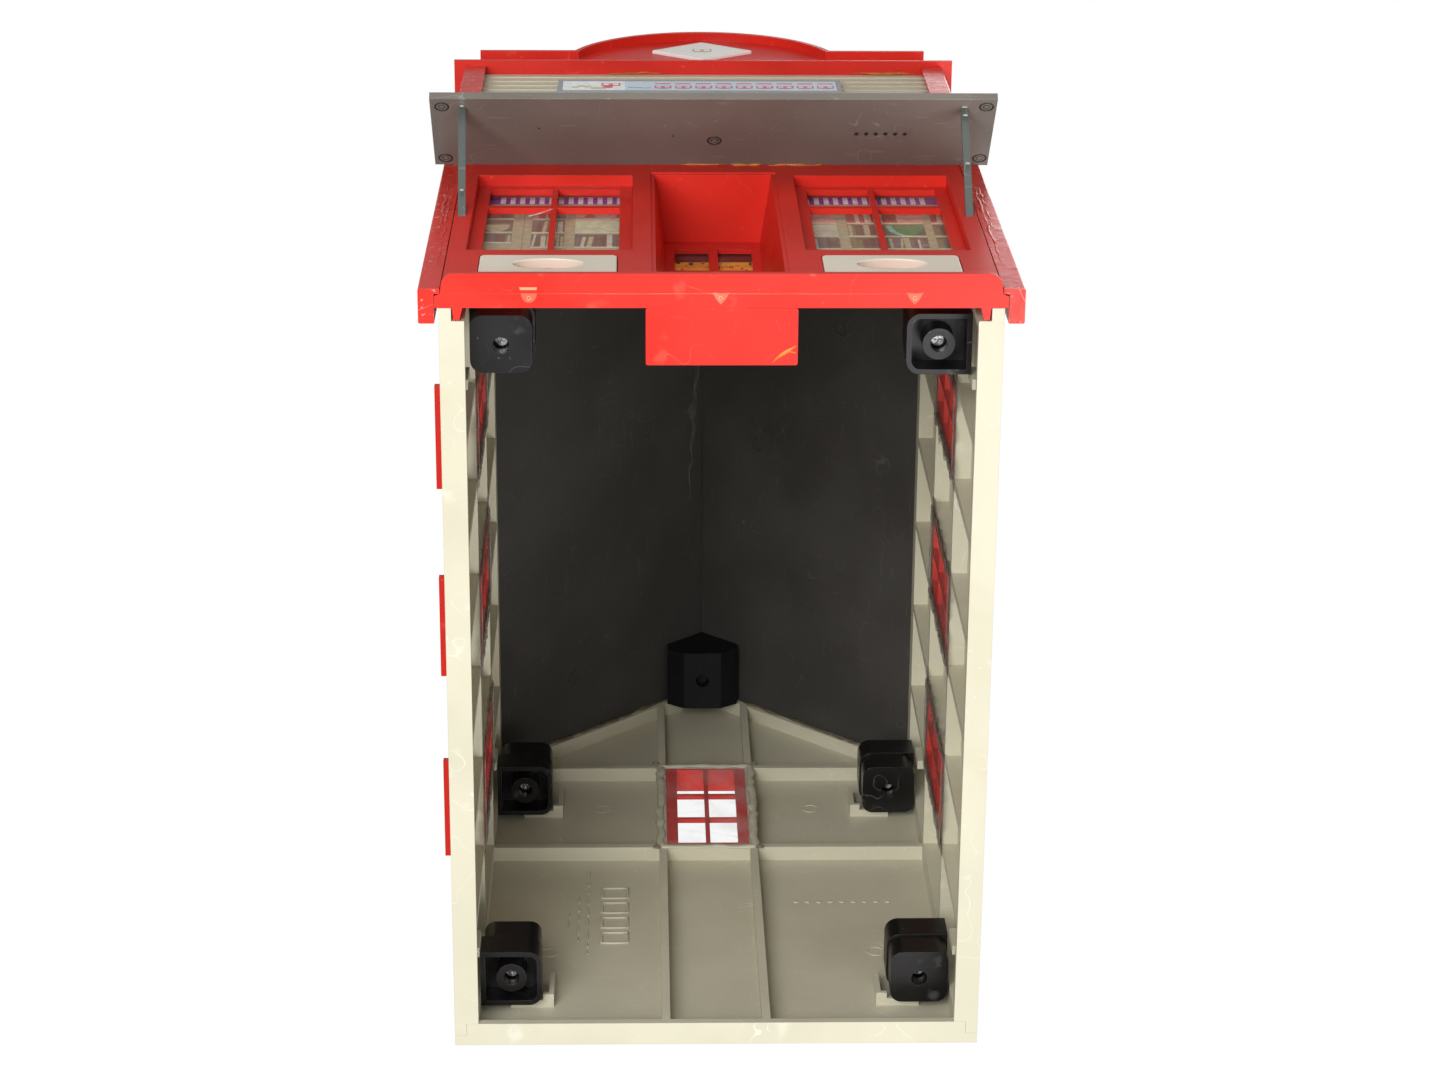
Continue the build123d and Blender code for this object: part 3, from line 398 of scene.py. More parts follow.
def bead(bm, path, outward, width, height, closed=True, uneven=0.0, seed=0.0, slices=4, ink=0):
    """Low rounded ridge along a path on a surface; outward is the surface's normal."""
    rings = []
    last = len(path) - 1
    for index, point in enumerate(path):
        before = path[index - 1] if closed or index > 0 else point
        after = path[(index + 1) % len(path)] if closed or index < last else point
        across = outward.cross(after - before).normalized()
        swell = 1 + uneven * 1.6 * noise.noise(point * 190 + Vector((seed, 0, 0)))
        drift = uneven * width * 0.9 * noise.noise(point * 130 + Vector((0, seed, 0)))
        taper = 1.0 if closed else max(0.15, min(1.0, 3 * min(index, last - index) / max(1, last)))
        half = max(0.1, swell) * taper * width / 2
        ring = []
        for slice_index in range(slices + 1):
            angle = math.pi * slice_index / slices
            reach = across * (drift + half * math.cos(angle))
            ring.append(bm.verts.new(point + reach + outward * height * max(0.2, swell) * math.sin(angle)))
        rings.append(ring)
    pairs = list(zip(rings, rings[1:]))
    if closed:
        pairs.append((rings[-1], rings[0]))
    for ring, following in pairs:
        for slice_index in range(slices + 1):
            beside = (slice_index + 1) % (slices + 1)
            face = bm.faces.new((ring[slice_index], ring[beside], following[beside], following[slice_index]))
            face.material_index = ink
    if not closed:
        for ring in (rings[0], rings[-1]):
            bm.faces.new(ring).material_index = ink


def blob(bm, centre, outward, radius, height, seed=0.0, ink=0, stretch=None):
    """Drop of glue with an uneven outline."""
    side = (stretch or outward.orthogonal()).normalized()
    other = outward.cross(side).normalized()
    around, levels = 18, 4
    rings = []
    for level in range(levels):
        rise = level / levels
        ring = []
        for index in range(around):
            angle = 2 * math.pi * index / around
            wobble = 1 + 0.35 * noise.noise(Vector((math.cos(angle), math.sin(angle), seed)))
            reach = radius * wobble * math.sqrt(1 - rise * rise)
            long = 1.7 if stretch else 1.0
            offset = side * math.cos(angle) * long + other * math.sin(angle)
            ring.append(bm.verts.new(centre + offset * reach + outward * height * rise))
        rings.append(ring)
    bm.faces.new(rings[0]).material_index = ink
    for ring, following in zip(rings, rings[1:]):
        for index in range(around):
            after = (index + 1) % around
            face = bm.faces.new((ring[index], ring[after], following[after], following[index]))
            face.material_index = ink
    top = bm.verts.new(centre + outward * height)
    for index in range(around):
        bm.faces.new((rings[-1][index], rings[-1][(index + 1) % around], top)).material_index = ink


OUT_FRONT = Vector((0, -1, 0))
OUT_BACK_WALL = Vector((0, -1, 0))
UP = Vector((0, 0, 1))
ALONG_X = Vector((1, 0, 0))
DOWN = Vector((0, 0, -1))


# ---------------------------------------------------------------- glue round the glazing
def window_glue():
    """Smeared solvent glue round every pane, seen from inside the building."""
    glue = dried_glue("pane_glue", rgb(138, 132, 121), 0.55)
    smear = dried_glue("pane_smear", rgb(146, 140, 128), 0.38, 0.3)
    for word, side in (("left", -1), ("right", 1)):
        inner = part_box(f"{word}_window_glazing")
        face_x = inner[1].x if side < 0 else inner[0].x
        inward = Vector((-side, 0, 0))
        for index in (1, 2, 3):
            low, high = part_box(f"{word}_window_frame_{index}")
            centre = Vector((face_x, (low.y + high.y) / 2, low.z + SILL_BELOW + OPENING_H / 2))
            bm = bmesh.new()
            seed = index + 7.3 * side
            across = Vector((0, 1, 0))
            path = box_path(centre, across, UP, OPENING_W + 1.6 * MM, OPENING_H + 1.8 * MM)
            bead(bm, path, inward, 2.6 * MM, 0.35 * MM, uneven=0.8, seed=seed)
            on_ribs = centre - inward * 0.75 * MM
            path = box_path(on_ribs, across, UP, OPENING_W + 6.0 * MM, OPENING_H + 7.0 * MM)
            bead(bm, path, inward, 5.4 * MM, 0.28 * MM, uneven=0.7, seed=seed + 40, ink=1)
            path = box_path(centre, across, UP, OPENING_W - 4.2 * MM, OPENING_H - 5.5 * MM, 3.5 * MM)
            bead(bm, path, inward, 0.9 * MM, 0.12 * MM, uneven=1.0, seed=seed + 20)
            finish_piece(f"{word}_pane_glue_{index}", bm, [glue, smear], smooth=True)


def back_window_edge():
    """Ragged edge of melted wall plastic round the back window."""
    low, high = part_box("back_window_frame")
    inward = OUT_BACK_WALL
    centre = Vector(((low.x + high.x) / 2, BACK_RIB_Y, low.z + SILL_BELOW + OPENING_H / 2))
    bm = bmesh.new()
    path = box_path(centre, ALONG_X, UP, OPENING_W + 5.2 * MM, OPENING_H + 5.2 * MM, 1.8 * MM)
    bead(bm, path, inward, 3.6 * MM, 0.8 * MM, uneven=0.35, seed=4.0)
    finish_piece("back_window_melted_edge", bm, [LOOKS["beige_plastic"]], smooth=True)
    glue = dried_glue("back_glue", rgb(150, 142, 124), 0.55)
    bm = bmesh.new()
    for right, up in ((-1, -1), (1, -1), (-1, 1), (1, 1)):
        point = centre + ALONG_X * right * (OPENING_W / 2 + 4.5 * MM) + UP * up * (OPENING_H / 2 + 4 * MM)
        blob(bm, point + inward * 0.5 * MM, inward, 2.0 * MM, 0.9 * MM, seed=right + 3 * up)
    finish_piece("back_window_glue_drops", bm, [glue], smooth=True)


def gable_glue():
    """Glue line where the roof panels meet the back wall, and the smear along the ridge."""
    dull = dried_glue("roof_glue", rgb(120, 108, 88), 0.5)
    bm = bmesh.new()
    ridge_z = EAVE_Z + WALL_IN * math.tan(ROOF_PITCH)
    for side in (-1, 1):
        foot = Vector((side * (WALL_IN - 1 * MM), BACK_RIB_Y - 0.1 * MM, EAVE_Z - 0.4 * MM))
        top_z = ridge_z - 14 * MM * math.tan(ROOF_PITCH) - 1.2 * MM
        top = Vector((side * 14 * MM, BACK_RIB_Y - 0.1 * MM, top_z))
        bead(bm, line_path(foot, top, 3 * MM), OUT_BACK_WALL, 1.8 * MM, 0.8 * MM, False, 0.9, seed=side * 3.0)
    finish_piece("gable_glue_line", bm, [dull], smooth=True)
    grey = dried_glue("ridge_smear_grey", rgb(112, 108, 100), 0.30, 0.3)
    bm = bmesh.new()
    inward = Vector((math.sin(ROOF_PITCH), 0, -math.cos(ROOF_PITCH)))
    start = Vector((-2.2 * MM, FRONT_Y + 40 * MM, ridge_z - 2.2 * MM * math.tan(ROOF_PITCH)))
    middle = Vector((-2.6 * MM, FRONT_Y + 140 * MM, ridge_z - 2.6 * MM * math.tan(ROOF_PITCH)))
    end = Vector((-6.5 * MM, FRONT_Y + 205 * MM, ridge_z - 6.5 * MM * math.tan(ROOF_PITCH)))
    path = line_path(start, middle, 5 * MM)[:-1] + line_path(middle, end, 5 * MM)
    bead(bm, path, inward, 4.5 * MM, 0.25 * MM, False, 0.8, seed=9.0)
    finish_piece("ridge_glue_smear", bm, [grey], smooth=True)


# ---------------------------------------------------------------- mould marks
def back_wall_marks():
    """Ejector rings and plain raised bars moulded inside the back wall."""
    bm = bmesh.new()
    plain = BACK_SKIN_Y
    marks = [(-69, 73), (69, 73), (-48, 214), (48, 214)]
    for x, z in marks:
        centre = Vector((x * MM, plain, z * MM))
        bead(bm, arc_path(centre, OUT_BACK_WALL, 3.6 * MM), OUT_BACK_WALL, 0.5 * MM, 0.3 * MM, uneven=0.3)
    for centre_z in (86, 100, 114, 128):
        centre = Vector((-41.5 * MM, plain, centre_z * MM))
        path = box_path(centre, ALONG_X, UP, 11 * MM, 9.5 * MM, 3 * MM)
        bead(bm, path, OUT_BACK_WALL, 1.3 * MM, 0.7 * MM)
    rng = random.Random("moulded lines")
    for x in (-53, -57, -61):
        z = 70.0 + (-53 - x) * 3
        while z < 146 + (x + 53) * 5:
            length = rng.uniform(4, 11)
            start = Vector((x * MM, plain, z * MM))
            path = line_path(start, Vector((x * MM, plain, (z + length) * MM)), 2 * MM)
            bead(bm, path, OUT_BACK_WALL, 1.2 * MM, 0.5 * MM, False)
            z += length + 2.5
    for index in range(9):
        x = 36 + index * 5
        path = line_path(Vector((x * MM, plain, 119 * MM)), Vector(((x + 2.6) * MM, plain, 119 * MM)), 1 * MM)
        bead(bm, path, OUT_BACK_WALL, 1.6 * MM, 0.4 * MM, False)
    finish_piece("back_wall_mould_marks", bm, [LOOKS["beige_plastic"]], smooth=True)


def canopy_frame():
    """Origin at the wall edge of the canopy's underside, its downhill direction and its outward normal."""
    foot = place(0, 0, CANOPY_WALL_Z)
    tip = place(0, -CANOPY_RUN, CANOPY_WALL_Z - CANOPY_DROP)
    down_slope = (tip - foot).normalized()
    outward = down_slope.cross(ALONG_X).normalized()
    if outward.z > 0:
        outward = -outward
    return foot, down_slope, outward


def canopy_marks():
    """Ejector rings and a plain row of raised bars under the canopy, coloured much darker than the canopy as
    painted shade.
    """
    foot, slope, outward = canopy_frame()
    bm = bmesh.new()
    for x, down in ((-111.2, 42.5), (-111.5, 5.0), (0.6, 18.2), (111.8, 43.0), (112.2, 5.3)):
        centre = foot + ALONG_X * x * MM + slope * down * MM
        bead(bm, arc_path(centre, outward, 2.7 * MM), outward, 0.75 * MM, 0.3 * MM)
        bead(bm, arc_path(centre, outward, 1.3 * MM, steps=24), outward, 0.3 * MM, 0.12 * MM, uneven=0.6)
    for index in range(6):
        x = 59.5 + index * 4
        centre = foot + ALONG_X * x * MM + slope * 23.4 * MM
        path = line_path(centre - slope * 1.2 * MM, centre + slope * 1.2 * MM, 0.8 * MM)
        bead(bm, path, outward, 1.9 * MM, 0.3 * MM, False)
    for x, down in ((-72, 27.0), (-16.5, 21.5)):
        blob(bm, foot + ALONG_X * x * MM + slope * down * MM, outward, 0.5 * MM, 0.3 * MM, seed=x)
    # Near-black colour for the rings, bars and drops: painted shade that makes the low relief stand out, with
    # lighter worn edges.
    ring_painted_shade = moulded("canopy_mark", rgb(44, 41, 38), 0.4, rgb(110, 108, 102), 0.3, 0.3, 0.1)
    finish_piece("canopy_mould_marks", bm, [ring_painted_shade], smooth=True)


def roof_marks():
    """Ejector rings inside the roof panels."""
    bm = bmesh.new()
    for side, across, depth in ((-1, 26.6, 163.5), (1, 25.0, 171.4), (-1, 62, 277), (1, 62, 103)):
        drop = (WALL_IN / MM - across) * math.tan(ROOF_PITCH)
        outward = Vector((-side * math.sin(ROOF_PITCH), 0, -math.cos(ROOF_PITCH)))
        centre = place(side * across, depth, EAVE_Z / MM + drop)
        bead(bm, arc_path(centre, outward, 3.0 * MM), outward, 0.5 * MM, 0.25 * MM, uneven=0.3, seed=across)
    finish_piece("roof_mould_marks", bm, [LOOKS["roof_plastic"]], smooth=True)


def plinth_marks():
    """Pale sprue marks under the plinth bar and a worn streak on the entry plate."""
    pale = moulded("red_stressed", rgb(250, 92, 66), 0.4, rgb(250, 170, 140), 0.5, 0.2, 0.1)
    bright = moulded("red_stressed_pale", rgb(252, 150, 112), 0.45, rgb(255, 206, 180), 0.5, 0.2, 0.1)
    orange = moulded("red_worn_orange", rgb(250, 120, 40), 0.45, rgb(255, 190, 90), 0.5, 0.2, 0.1)
    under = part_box("plinth_bar")[0].z
    bm = bmesh.new()
    for x in (-71.4, -0.5, 71.4):
        centre = place(x, 3.6, 0) + UP * under
        if x < -1:
            turns = [math.pi * k / 10 for k in range(11)]
            outline = [centre + Vector((2.95 * math.cos(t), 3.7 * math.sin(t) - 1.9, 0)) * MM for t in turns]
        else:
            outline = [centre + Vector((dx * MM, dy * MM, 0)) for dx, dy in
                       ((-3.2, -2.2), (0, -1.9), (3.2, -2.2), (1.7, 0.6), (0, 2.4), (-1.7, 0.6))]
        prism(bm, outline, DOWN * 0.06 * MM)
        bead(bm, arc_path(centre, DOWN, 0.7 * MM, steps=20), DOWN, 0.35 * MM, 0.16 * MM, ink=1)
    corners = ((-75.0, -0.6), (-68.4, -0.6), (-68.6, 0.5), (-74.6, 0.5))
    prism(bm, [place(x, depth, 0) + UP * under for x, depth in corners], DOWN * 0.05 * MM, 1)
    path = line_path(place(-101.5, 1.9, 0) + UP * under, place(101.5, 1.9, 0) + UP * under, 4 * MM)
    bead(bm, path, DOWN, 0.35 * MM, 0.05 * MM, False, 0.2, seed=11.0)
    finish_piece("plinth_sprue_marks", bm, [pale, bright])
    plate_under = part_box("entry_floor_plate")[0].z
    bm = bmesh.new()
    start = place(18.8, 28.9, 0) + UP * plate_under
    end = place(27.6, 21.5, 0) + UP * plate_under
    bead(bm, line_path(start, end, 0.9 * MM), DOWN, 1.5 * MM, 0.12 * MM, False, 0.8, seed=2.0)
    fork = place(24.0, 23.5, 0) + UP * plate_under
    path = line_path(fork, place(28.0, 24.6, 0) + UP * plate_under, 0.8 * MM)
    bead(bm, path, DOWN, 1.0 * MM, 0.1 * MM, False, 0.8)
    finish_piece("entry_plate_worn_streak", bm, [orange], smooth=True)


# ---------------------------------------------------------------- glue on the front
def front_glue():
    """Orange glue at the canopy and cornice, a thread on a window, drops on the struts, lumpy trim joints."""
    amber = dried_glue("amber_glue", rgb(214, 136, 56), 0.6)
    bm = bmesh.new()
    runs = ((-13, 4, -0.15, 1.2, 1.0), (2, 26, -0.3, 2.6, 2.0), (24, 47, -0.15, 1.4, 3.0))
    for start, end, depth, width, seed in runs:
        path = line_path(place(start, depth, 183.3), place(end, depth, 183.1), 1.5 * MM)
        bead(bm, path, Vector((0, -0.8, -0.6)), width * MM, 0.4 * MM, False, 0.9, seed=seed)
    for start, end, seed in ((-45, -20, 5.0), (70, 100, 6.0)):
        path = line_path(place(start, 3.3, 369.6), place(end, 3.3, 369.7), 2.0 * MM)
        bead(bm, path, Vector((0, -0.8, -0.6)), 1.2 * MM, 0.35 * MM, False, 0.9, seed=seed)
    finish_piece("canopy_amber_glue", bm, [amber], smooth=True)
    thread = dried_glue("glue_thread", rgb(232, 226, 220), 0.85, 0.3)
    bm = bmesh.new()
    path = line_path(place(-74.9, 4.5, 117.5), place(-71.4, 4.5, 121.0), 1 * MM)[:-1]
    path += line_path(place(-71.4, 4.5, 121.0), place(-65.4, 4.5, 128.9), 1 * MM)
    bead(bm, path, OUT_FRONT, 0.6 * MM, 0.35 * MM, False, 0.3, seed=8.0)
    finish_piece("shop_window_glue_thread", bm, [thread], smooth=True)
    pale = dried_glue("strut_glue", rgb(186, 190, 182), 0.8)
    bm = bmesh.new()
    rng = random.Random("strut drops")
    for side in (-1, 1):
        for fraction in (0.98, 0.9, 0.45) if side > 0 else (0.98, 0.2):
            x = side * (STRUT_FOOT[0] + STRUT_SPLAY * fraction)
            point = place(x, -STRUT_REACH * fraction - 1.4, STRUT_FOOT[1] + STRUT_RISE * fraction)
            blob(bm, point, OUT_FRONT, rng.uniform(0.8, 1.5) * MM, 0.8 * MM, seed=fraction)
    finish_piece("strut_glue_drops", bm, [pale], smooth=True)
    lumpy = moulded("red_melted", RED, 0.24, rgb(244, 190, 180), 0.8, 0.2, 0.1, lumps=0.2 * MM,
                    gate=(0.45, 0.5), shine=0.4, speckle=0.66)
    bm = bmesh.new()
    for side in (-1, 1):
        for start, end, x, width in ((30, 165, 106.9, 2.2), (70, 150, 108.8, 2.8)):
            path = line_path(place(side * x, -0.0, start), place(side * x, -0.0, end), 2.2 * MM)
            bead(bm, path, OUT_FRONT, 0.45 * width * MM, 0.13 * MM, False, 1.0, seed=side * 2.0 + x)
    finish_piece("trim_melted_ridges", bm, [lumpy], smooth=True)


# ---------------------------------------------------------------- printed artwork
INKS = {
    "wood": rgb(190, 170, 134), "wood_dark": rgb(158, 138, 104), "edge": rgb(226, 206, 176),
    "gloom": rgb(132, 110, 92), "brown": rgb(134, 92, 74), "red": rgb(196, 92, 76),
    "pink": rgb(224, 160, 144), "tan": rgb(196, 178, 140), "white": rgb(208, 194, 174),
    "mauve": rgb(140, 112, 102), "olive": rgb(150, 130, 88), "green": rgb(112, 140, 92),
    "teal": rgb(146, 196, 168), "pale": rgb(204, 204, 168), "purple": rgb(156, 48, 158),
    "lilac": rgb(255, 218, 228), "gold": rgb(250, 192, 52), "amber": rgb(238, 120, 30),
    "soot": rgb(84, 34, 22), "blossom": rgb(220, 112, 122), "sky": rgb(204, 220, 230),
    "snow": rgb(246, 248, 250), "slate": rgb(138, 146, 156),
}
INK_NAMES = list(INKS)
LAYER = 0.05 * MM


class Print:
    """Flat artwork on a card: shapes given in millimetres across and up, stacked in thin layers."""

    def __init__(self, node, lift=0.0):
        low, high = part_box(node)
        self.front_y = low.y
        self.left, self.right = low.x / MM, high.x / MM
        self.foot, self.top = low.z / MM, high.z / MM
        self.lift = lift
        self.bm = bmesh.new()

    def shape(self, points, ink, layer=1):
        back = self.front_y - LAYER * (layer - 1)
        outline = [Vector((x * MM, back, (z + self.lift) * MM)) for x, z in points]
        prism(self.bm, outline, Vector((0, -LAYER, 0)), INK_NAMES.index(ink))

    def rect(self, x, z, ink, layer=1):
        self.shape(((x[0], z[0]), (x[1], z[0]), (x[1], z[1]), (x[0], z[1])), ink, layer)

    def done(self, name):
        inks = [printed(f"ink_{name}_{ink}", INKS[ink]) for ink in INK_NAMES]
        piece = finish_piece(name, self.bm, inks)
        used = sorted({polygon.material_index for polygon in piece.data.polygons})
        keep = {old: new for new, old in enumerate(used)}
        numbers = [keep[polygon.material_index] for polygon in piece.data.polygons]
        piece.data.materials.clear()
        for old in used:
            piece.data.materials.append(inks[old])
        for polygon, number in zip(piece.data.polygons, numbers):
            polygon.material_index = number


def valance(art, ends, first_white, last_white):
    """Purple and pale striped valance along the top of a shop window."""
    pitch, bar = 4.0, 2.1
    foot, top = 153.5, 163.9
    art.rect(ends, (foot, top), "purple", 3)
    x = first_white
    while x < last_white:
        art.rect((x, x + bar), (foot, top), "lilac", 4)
        x += pitch


def spines(art, x, z, rng, inks):
    """Row of book spines of uneven width and height; now and then one leans."""
    at = x[0]
    room = z[1] - z[0]
    while at < x[1] - 0.6:
        thick = min(rng.uniform(0.9, 2.4), x[1] - at)
        tall = room * rng.uniform(0.78, 0.98)
        lean = rng.choice((0, 0, 0, 0.9)) if at + thick + 1 < x[1] else 0
        ink = rng.choice(inks)
        foot, head = z[0], z[0] + tall
        art.shape(((at, foot), (at + thick, foot), (at + thick + lean, head), (at + lean, head)), ink, 3)
        at += thick + rng.choice((0.0, 0.0, 0.25, 0.5)) + lean


def pot(art, x, z, ink, layer=3):
    """Rounded bowl or pot."""
    middle, half, tall = (x[0] + x[1]) / 2, (x[1] - x[0]) / 2, z[1] - z[0]
    steps = 10
    turns = [math.pi * k / steps for k in range(steps + 1)]
    curve = [(middle - half * math.cos(turn), z[1] - tall * math.sin(turn)) for turn in turns]
    art.shape(curve, ink, layer)


def bay(art, x, rows, contents, rng):
    """One bookcase bay: dark compartments, pale shelf edges, and what stands on each shelf."""
    for (foot, top), what in zip(rows, contents):
        art.rect(x, (foot, top), "pale" if what == "panel" else "gloom", 2)
        art.rect(x, (foot - 1.6, foot), "edge", 4)
        inner = (x[0] + 0.3, x[1] - 0.3)
        if what == "red_books":
            spines(art, inner, (foot, top), rng, ("red", "pink", "red", "brown", "white"))
        elif what == "books":
            spines(art, inner, (foot, top), rng, ("white", "tan", "brown", "mauve", "tan"))
        elif what == "brown_books":
            spines(art, inner, (foot, top), rng, ("brown", "olive", "mauve", "brown", "tan"))
        elif what == "pot":
            pot(art, (x[0] + 1.5, x[1] - 1.2), (foot, foot + 0.62 * (top - foot)), "tan")
        elif what == "bowl":
            pot(art, inner, (foot, top - 1.5), "teal")
            pot(art, (inner[0] + 2.6, inner[1]), (foot, top - 1.5), "green", 4)
        elif what == "box":
            art.rect((x[0] + 0.35 * (x[1] - x[0]), x[1]), (foot, foot + 0.75 * (top - foot)), "pink", 3)
            art.rect((x[0] + 0.6, x[0] + 0.3 * (x[1] - x[0])), (foot, foot + 0.6 * (top - foot)), "red", 3)


def shop_cards():
    """Shelves and valance printed behind each shop window."""
    left = Print("left_display_card", lift=1.5)
    rng = random.Random("left shelves")
    left.rect((-96, -34), (60, 152), "wood")
    valance(left, (-96, -34.5), -87.8, -38.0)
    rows = ((89, 107.5), (110.5, 128.5), (131, 143))
    end_rows = ((95.7, 108.5), (111, 128.5), (131.5, 143))
    bay(left, (-95.0, -81.5), end_rows, ("brown_books", "pot", "red_books"), rng)
    left.rect((-77.3, -76.9), (62, 143), "wood_dark", 2)
    bay(left, (-73.8, -60.6), rows, ("books", "books", "red_books"), rng)
    bay(left, (-56.4, -36.0), rows, ("books", "panel", "plain"), rng)
    left.rect((-56.4, -36), (130.5, 143), "pink", 3)
    for x in (-53, -40.5):
        left.shape(((x, 132), (x + 5, 132), (x + 2.4, 142)), "red", 4)
    left.done("left_card_artwork")

    right = Print("right_display_card", lift=1.5)
    rng = random.Random("right shelves")
    right.rect((34, 96), (60, 152), "wood")
    valance(right, (34.5, 96), 37.9, 87.0)
    rows = ((87, 103), (105.5, 122.5), (125, 143))
    bay(right, (35.5, 49.2), rows, ("books", "panel", "plain"), rng)
    pot(right, (37, 48.5), (105.5, 118), "white", 3)
    right.rect((35.5, 49.2), (125, 143), "pink", 3)
    bay(right, (53.5, 68.6), rows, ("brown_books", "brown_books", "red_books"), rng)
    bay(right, (68.6, 84.6), rows, ("books", "bowl", "box"), rng)
    bay(right, (88.0, 95.5), rows, ("brown_books", "brown_books", "red_books"), rng)
    right.done("right_card_artwork")


def door_card():
    """Yellow and orange print behind the panes of the fanlight, dark red above it."""
    art = Print("door_print_card")
    rng = random.Random("door print")
    for side in (-1, 1):
        x = (1.0, 16.9) if side > 0 else (-16.9, -1.0)
        art.rect(x, (60, 154.5), "gold")
        art.rect(x, (150.5, 154.5), "soot", 2)
        at = x[0]
        while at < x[1] - 1.2:
            width = rng.uniform(0.8, 2.2)
            foot = rng.uniform(137, 149)
            ink = rng.choice(("amber", "soot", "amber", "red"))
            art.rect((at, at + width), (foot, foot + rng.uniform(1.5, 4.5)), ink, 3)
            at += width + rng.uniform(0.1, 0.9)
        art.rect(x, (143.6, 144.6), "amber", 2)
    art.done("door_card_artwork")


def open_book(art, x, z, size, ink, page):
    """Plain pictogram of an open book."""
    for side in (-1, 1):
        edge = x + side * size
        points = ((x, z), (edge, z + 0.25 * size), (edge, z + 1.5 * size), (x, z + 1.25 * size))
        art.shape(points, ink, 3)
        inner = ((x + side * 0.22 * size, z + 0.42 * size), (x + side * 0.8 * size, z + 0.55 * size),
                 (x + side * 0.8 * size, z + 1.2 * size), (x + side * 0.22 * size, z + 1.05 * size))
        art.shape(inner, page, 4)


def sign_artwork():
    """Name board with its lettering left out: a bookworm on white, then a row of plain books."""
    art = Print("sign_face")
    foot, top = art.foot + 0.3, art.top - 0.3
    art.rect((art.left + 0.3, -37), (foot, top), "snow")
    worm = [(-60 + 3.0 * k, 334 + 2.2 * math.sin(1.3 * k)) for k in range(6)]
    for index, (x, z) in enumerate(worm):
        radius = 1.7 + 0.15 * index
        ring = [(x + radius * math.cos(a), z + radius * math.sin(a)) for a in
                [2 * math.pi * k / 16 for k in range(16)]]
        art.shape(ring, "pale" if index < 5 else "blossom", 2 + index % 2)
    open_book(art, -43.5, 336.0, 4.4, "blossom", "snow")
    path = [(-35.5 + 1.5 * k, 333.0 + 0.8 * math.sin(0.9 * k)) for k in range(8)]
    for (x0, z0), (x1, z1) in zip(path, path[1:]):
        art.shape(((x0, z0), (x1, z1), (x1, z1 + 0.8), (x0, z0 + 0.8)), "slate", 2)
    for index in range(9):
        x = -19.4 + 9.4 * index
        open_book(art, x, 331.5, 3.9, "blossom", "sky")
        art.rect((x - 3.6, x + 3.6), (341.0, 342.2), "blossom", 3)
    art.done("sign_artwork")


def diamond_artwork():
    """Fine inset line and a plain open book on the white diamond."""
    art = Print("pediment_diamond")
    middle_z, half_w, half_h = 413.0, 22.0, 17.0
    corners = ((-1, 0), (0, 1), (1, 0), (0, -1))
    for index, (a, b) in enumerate(corners):
        c, d = corners[(index + 1) % 4]
        outer = [(a * half_w, middle_z + b * half_h), (c * half_w, middle_z + d * half_h)]
        in_w, in_h = half_w - 0.7, half_h - 0.5
        inner = [(c * in_w, middle_z + d * in_h), (a * in_w, middle_z + b * in_h)]
        art.shape(outer + inner, "edge")
    open_book(art, 0, 408.5, 4.6, "tan", "snow")
    art.done("diamond_artwork")


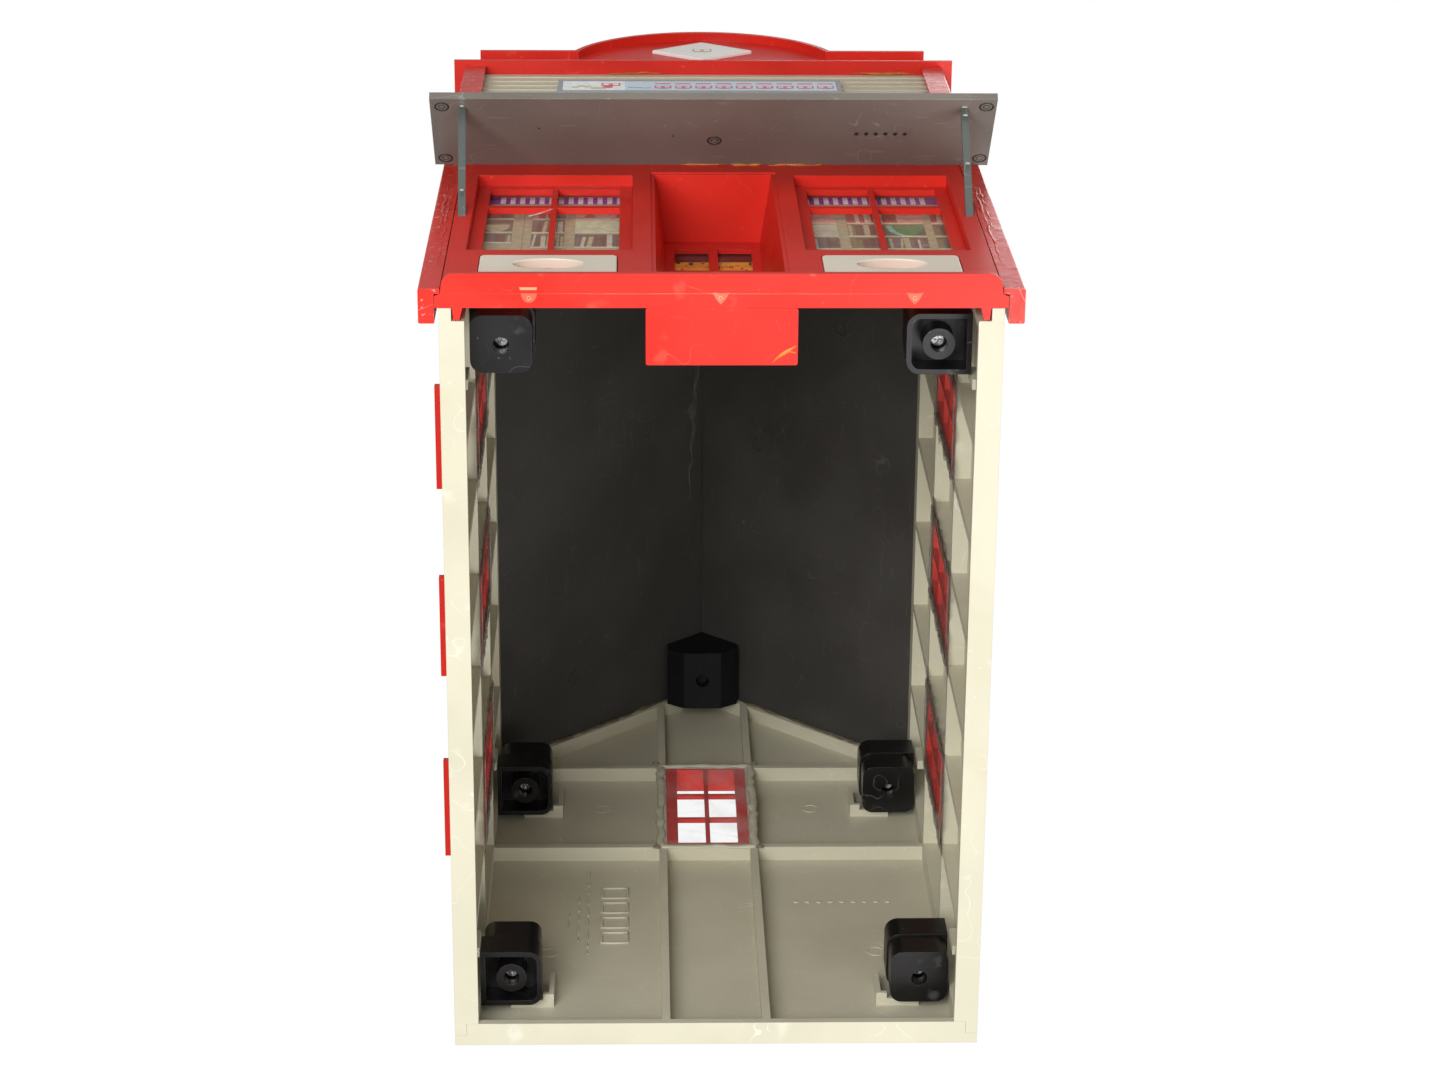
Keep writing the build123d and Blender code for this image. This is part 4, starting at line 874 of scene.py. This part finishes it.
# ---------------------------------------------------------------- stage
def make_floor():
    size = 6.0
    mesh = bpy.data.meshes.new("floor")
    corners = [(-size, -size, 0), (size, -size, 0), (size, size, 0), (-size, size, 0)]
    mesh.from_pydata(corners, [], [(0, 1, 2, 3)])
    floor = bpy.data.objects.new("floor", mesh)
    floor.location.z = CAD_BOX[0][2] - 0.4 * MM
    bpy.context.scene.collection.objects.link(floor)
    look = Look("floor_pale")
    grain = look.noise(40, 4)
    look.set("Base Color", look.blend(grain, rgb(226, 226, 226), rgb(240, 240, 240)))
    look.set("Roughness", look.span(grain, 0.3, 0.7, 0.65, 0.8))
    tree = look.tree
    see_through = tree.nodes.new("ShaderNodeBsdfTransparent")
    geometry = tree.nodes.new("ShaderNodeNewGeometry")
    mix = tree.nodes.new("ShaderNodeMixShader")
    tree.links.new(geometry.outputs["Backfacing"], mix.inputs[0])
    tree.links.new(look.shader.outputs["BSDF"], mix.inputs[1])
    tree.links.new(see_through.outputs["BSDF"], mix.inputs[2])
    tree.links.new(mix.outputs["Shader"], tree.nodes["Material Output"].inputs["Surface"])
    mesh.materials.append(look.material)
    floor.visible_diffuse = False
    floor.visible_glossy = False
    floor.visible_shadow = False


def area_light(name, place_at, target, size, power, colour=(1, 1, 1)):
    data = bpy.data.lights.new(name, "AREA")
    data.shape = "SQUARE"
    data.size = size
    data.energy = power
    data.color = colour
    light = bpy.data.objects.new(name, data)
    light.location = place_at
    direction = Vector(target) - Vector(place_at)
    light.rotation_euler = direction.to_track_quat("-Z", "Y").to_euler()
    bpy.context.scene.collection.objects.link(light)


def make_lights():
    area_light("below_key", (-0.5, -0.7, -1.4), (0, 0, 0.1), 0.9, 27)
    area_light("below_fill", (0.7, 0.3, -1.3), (0, 0, 0.1), 0.9, 15)
    area_light("front_soft", (0.0, -1.8, 0.6), (0, 0, 0.2), 1.2, 3)
    area_light("top_soft", (0.4, 0.4, 1.8), (0, 0, 0.2), 1.6, 22)


def make_world():
    """White seen by the camera, softer white as light."""
    world = bpy.data.worlds.new("studio")
    bpy.context.scene.world = world
    world.use_nodes = True
    tree = world.node_tree
    tree.nodes.clear()
    seen = tree.nodes.new("ShaderNodeBackground")
    lit = tree.nodes.new("ShaderNodeBackground")
    seen.inputs["Color"].default_value = (1, 1, 1, 1)
    seen.inputs["Strength"].default_value = 1.0
    lit.inputs["Color"].default_value = (1, 1, 1, 1)
    lit.inputs["Strength"].default_value = 0.42
    path = tree.nodes.new("ShaderNodeLightPath")
    mix = tree.nodes.new("ShaderNodeMixShader")
    output = tree.nodes.new("ShaderNodeOutputWorld")
    tree.links.new(path.outputs["Is Camera Ray"], mix.inputs[0])
    tree.links.new(lit.outputs["Background"], mix.inputs[1])
    tree.links.new(seen.outputs["Background"], mix.inputs[2])
    tree.links.new(mix.outputs["Shader"], output.inputs["Surface"])
    bpy.context.scene.view_settings.view_transform = "Standard"


make_camera()
dress_nodes()
window_glue()
back_window_edge()
gable_glue()
back_wall_marks()
canopy_marks()
roof_marks()
plinth_marks()
front_glue()
shop_cards()
door_card()
sign_artwork()
diamond_artwork()
make_floor()
make_lights()
make_world()
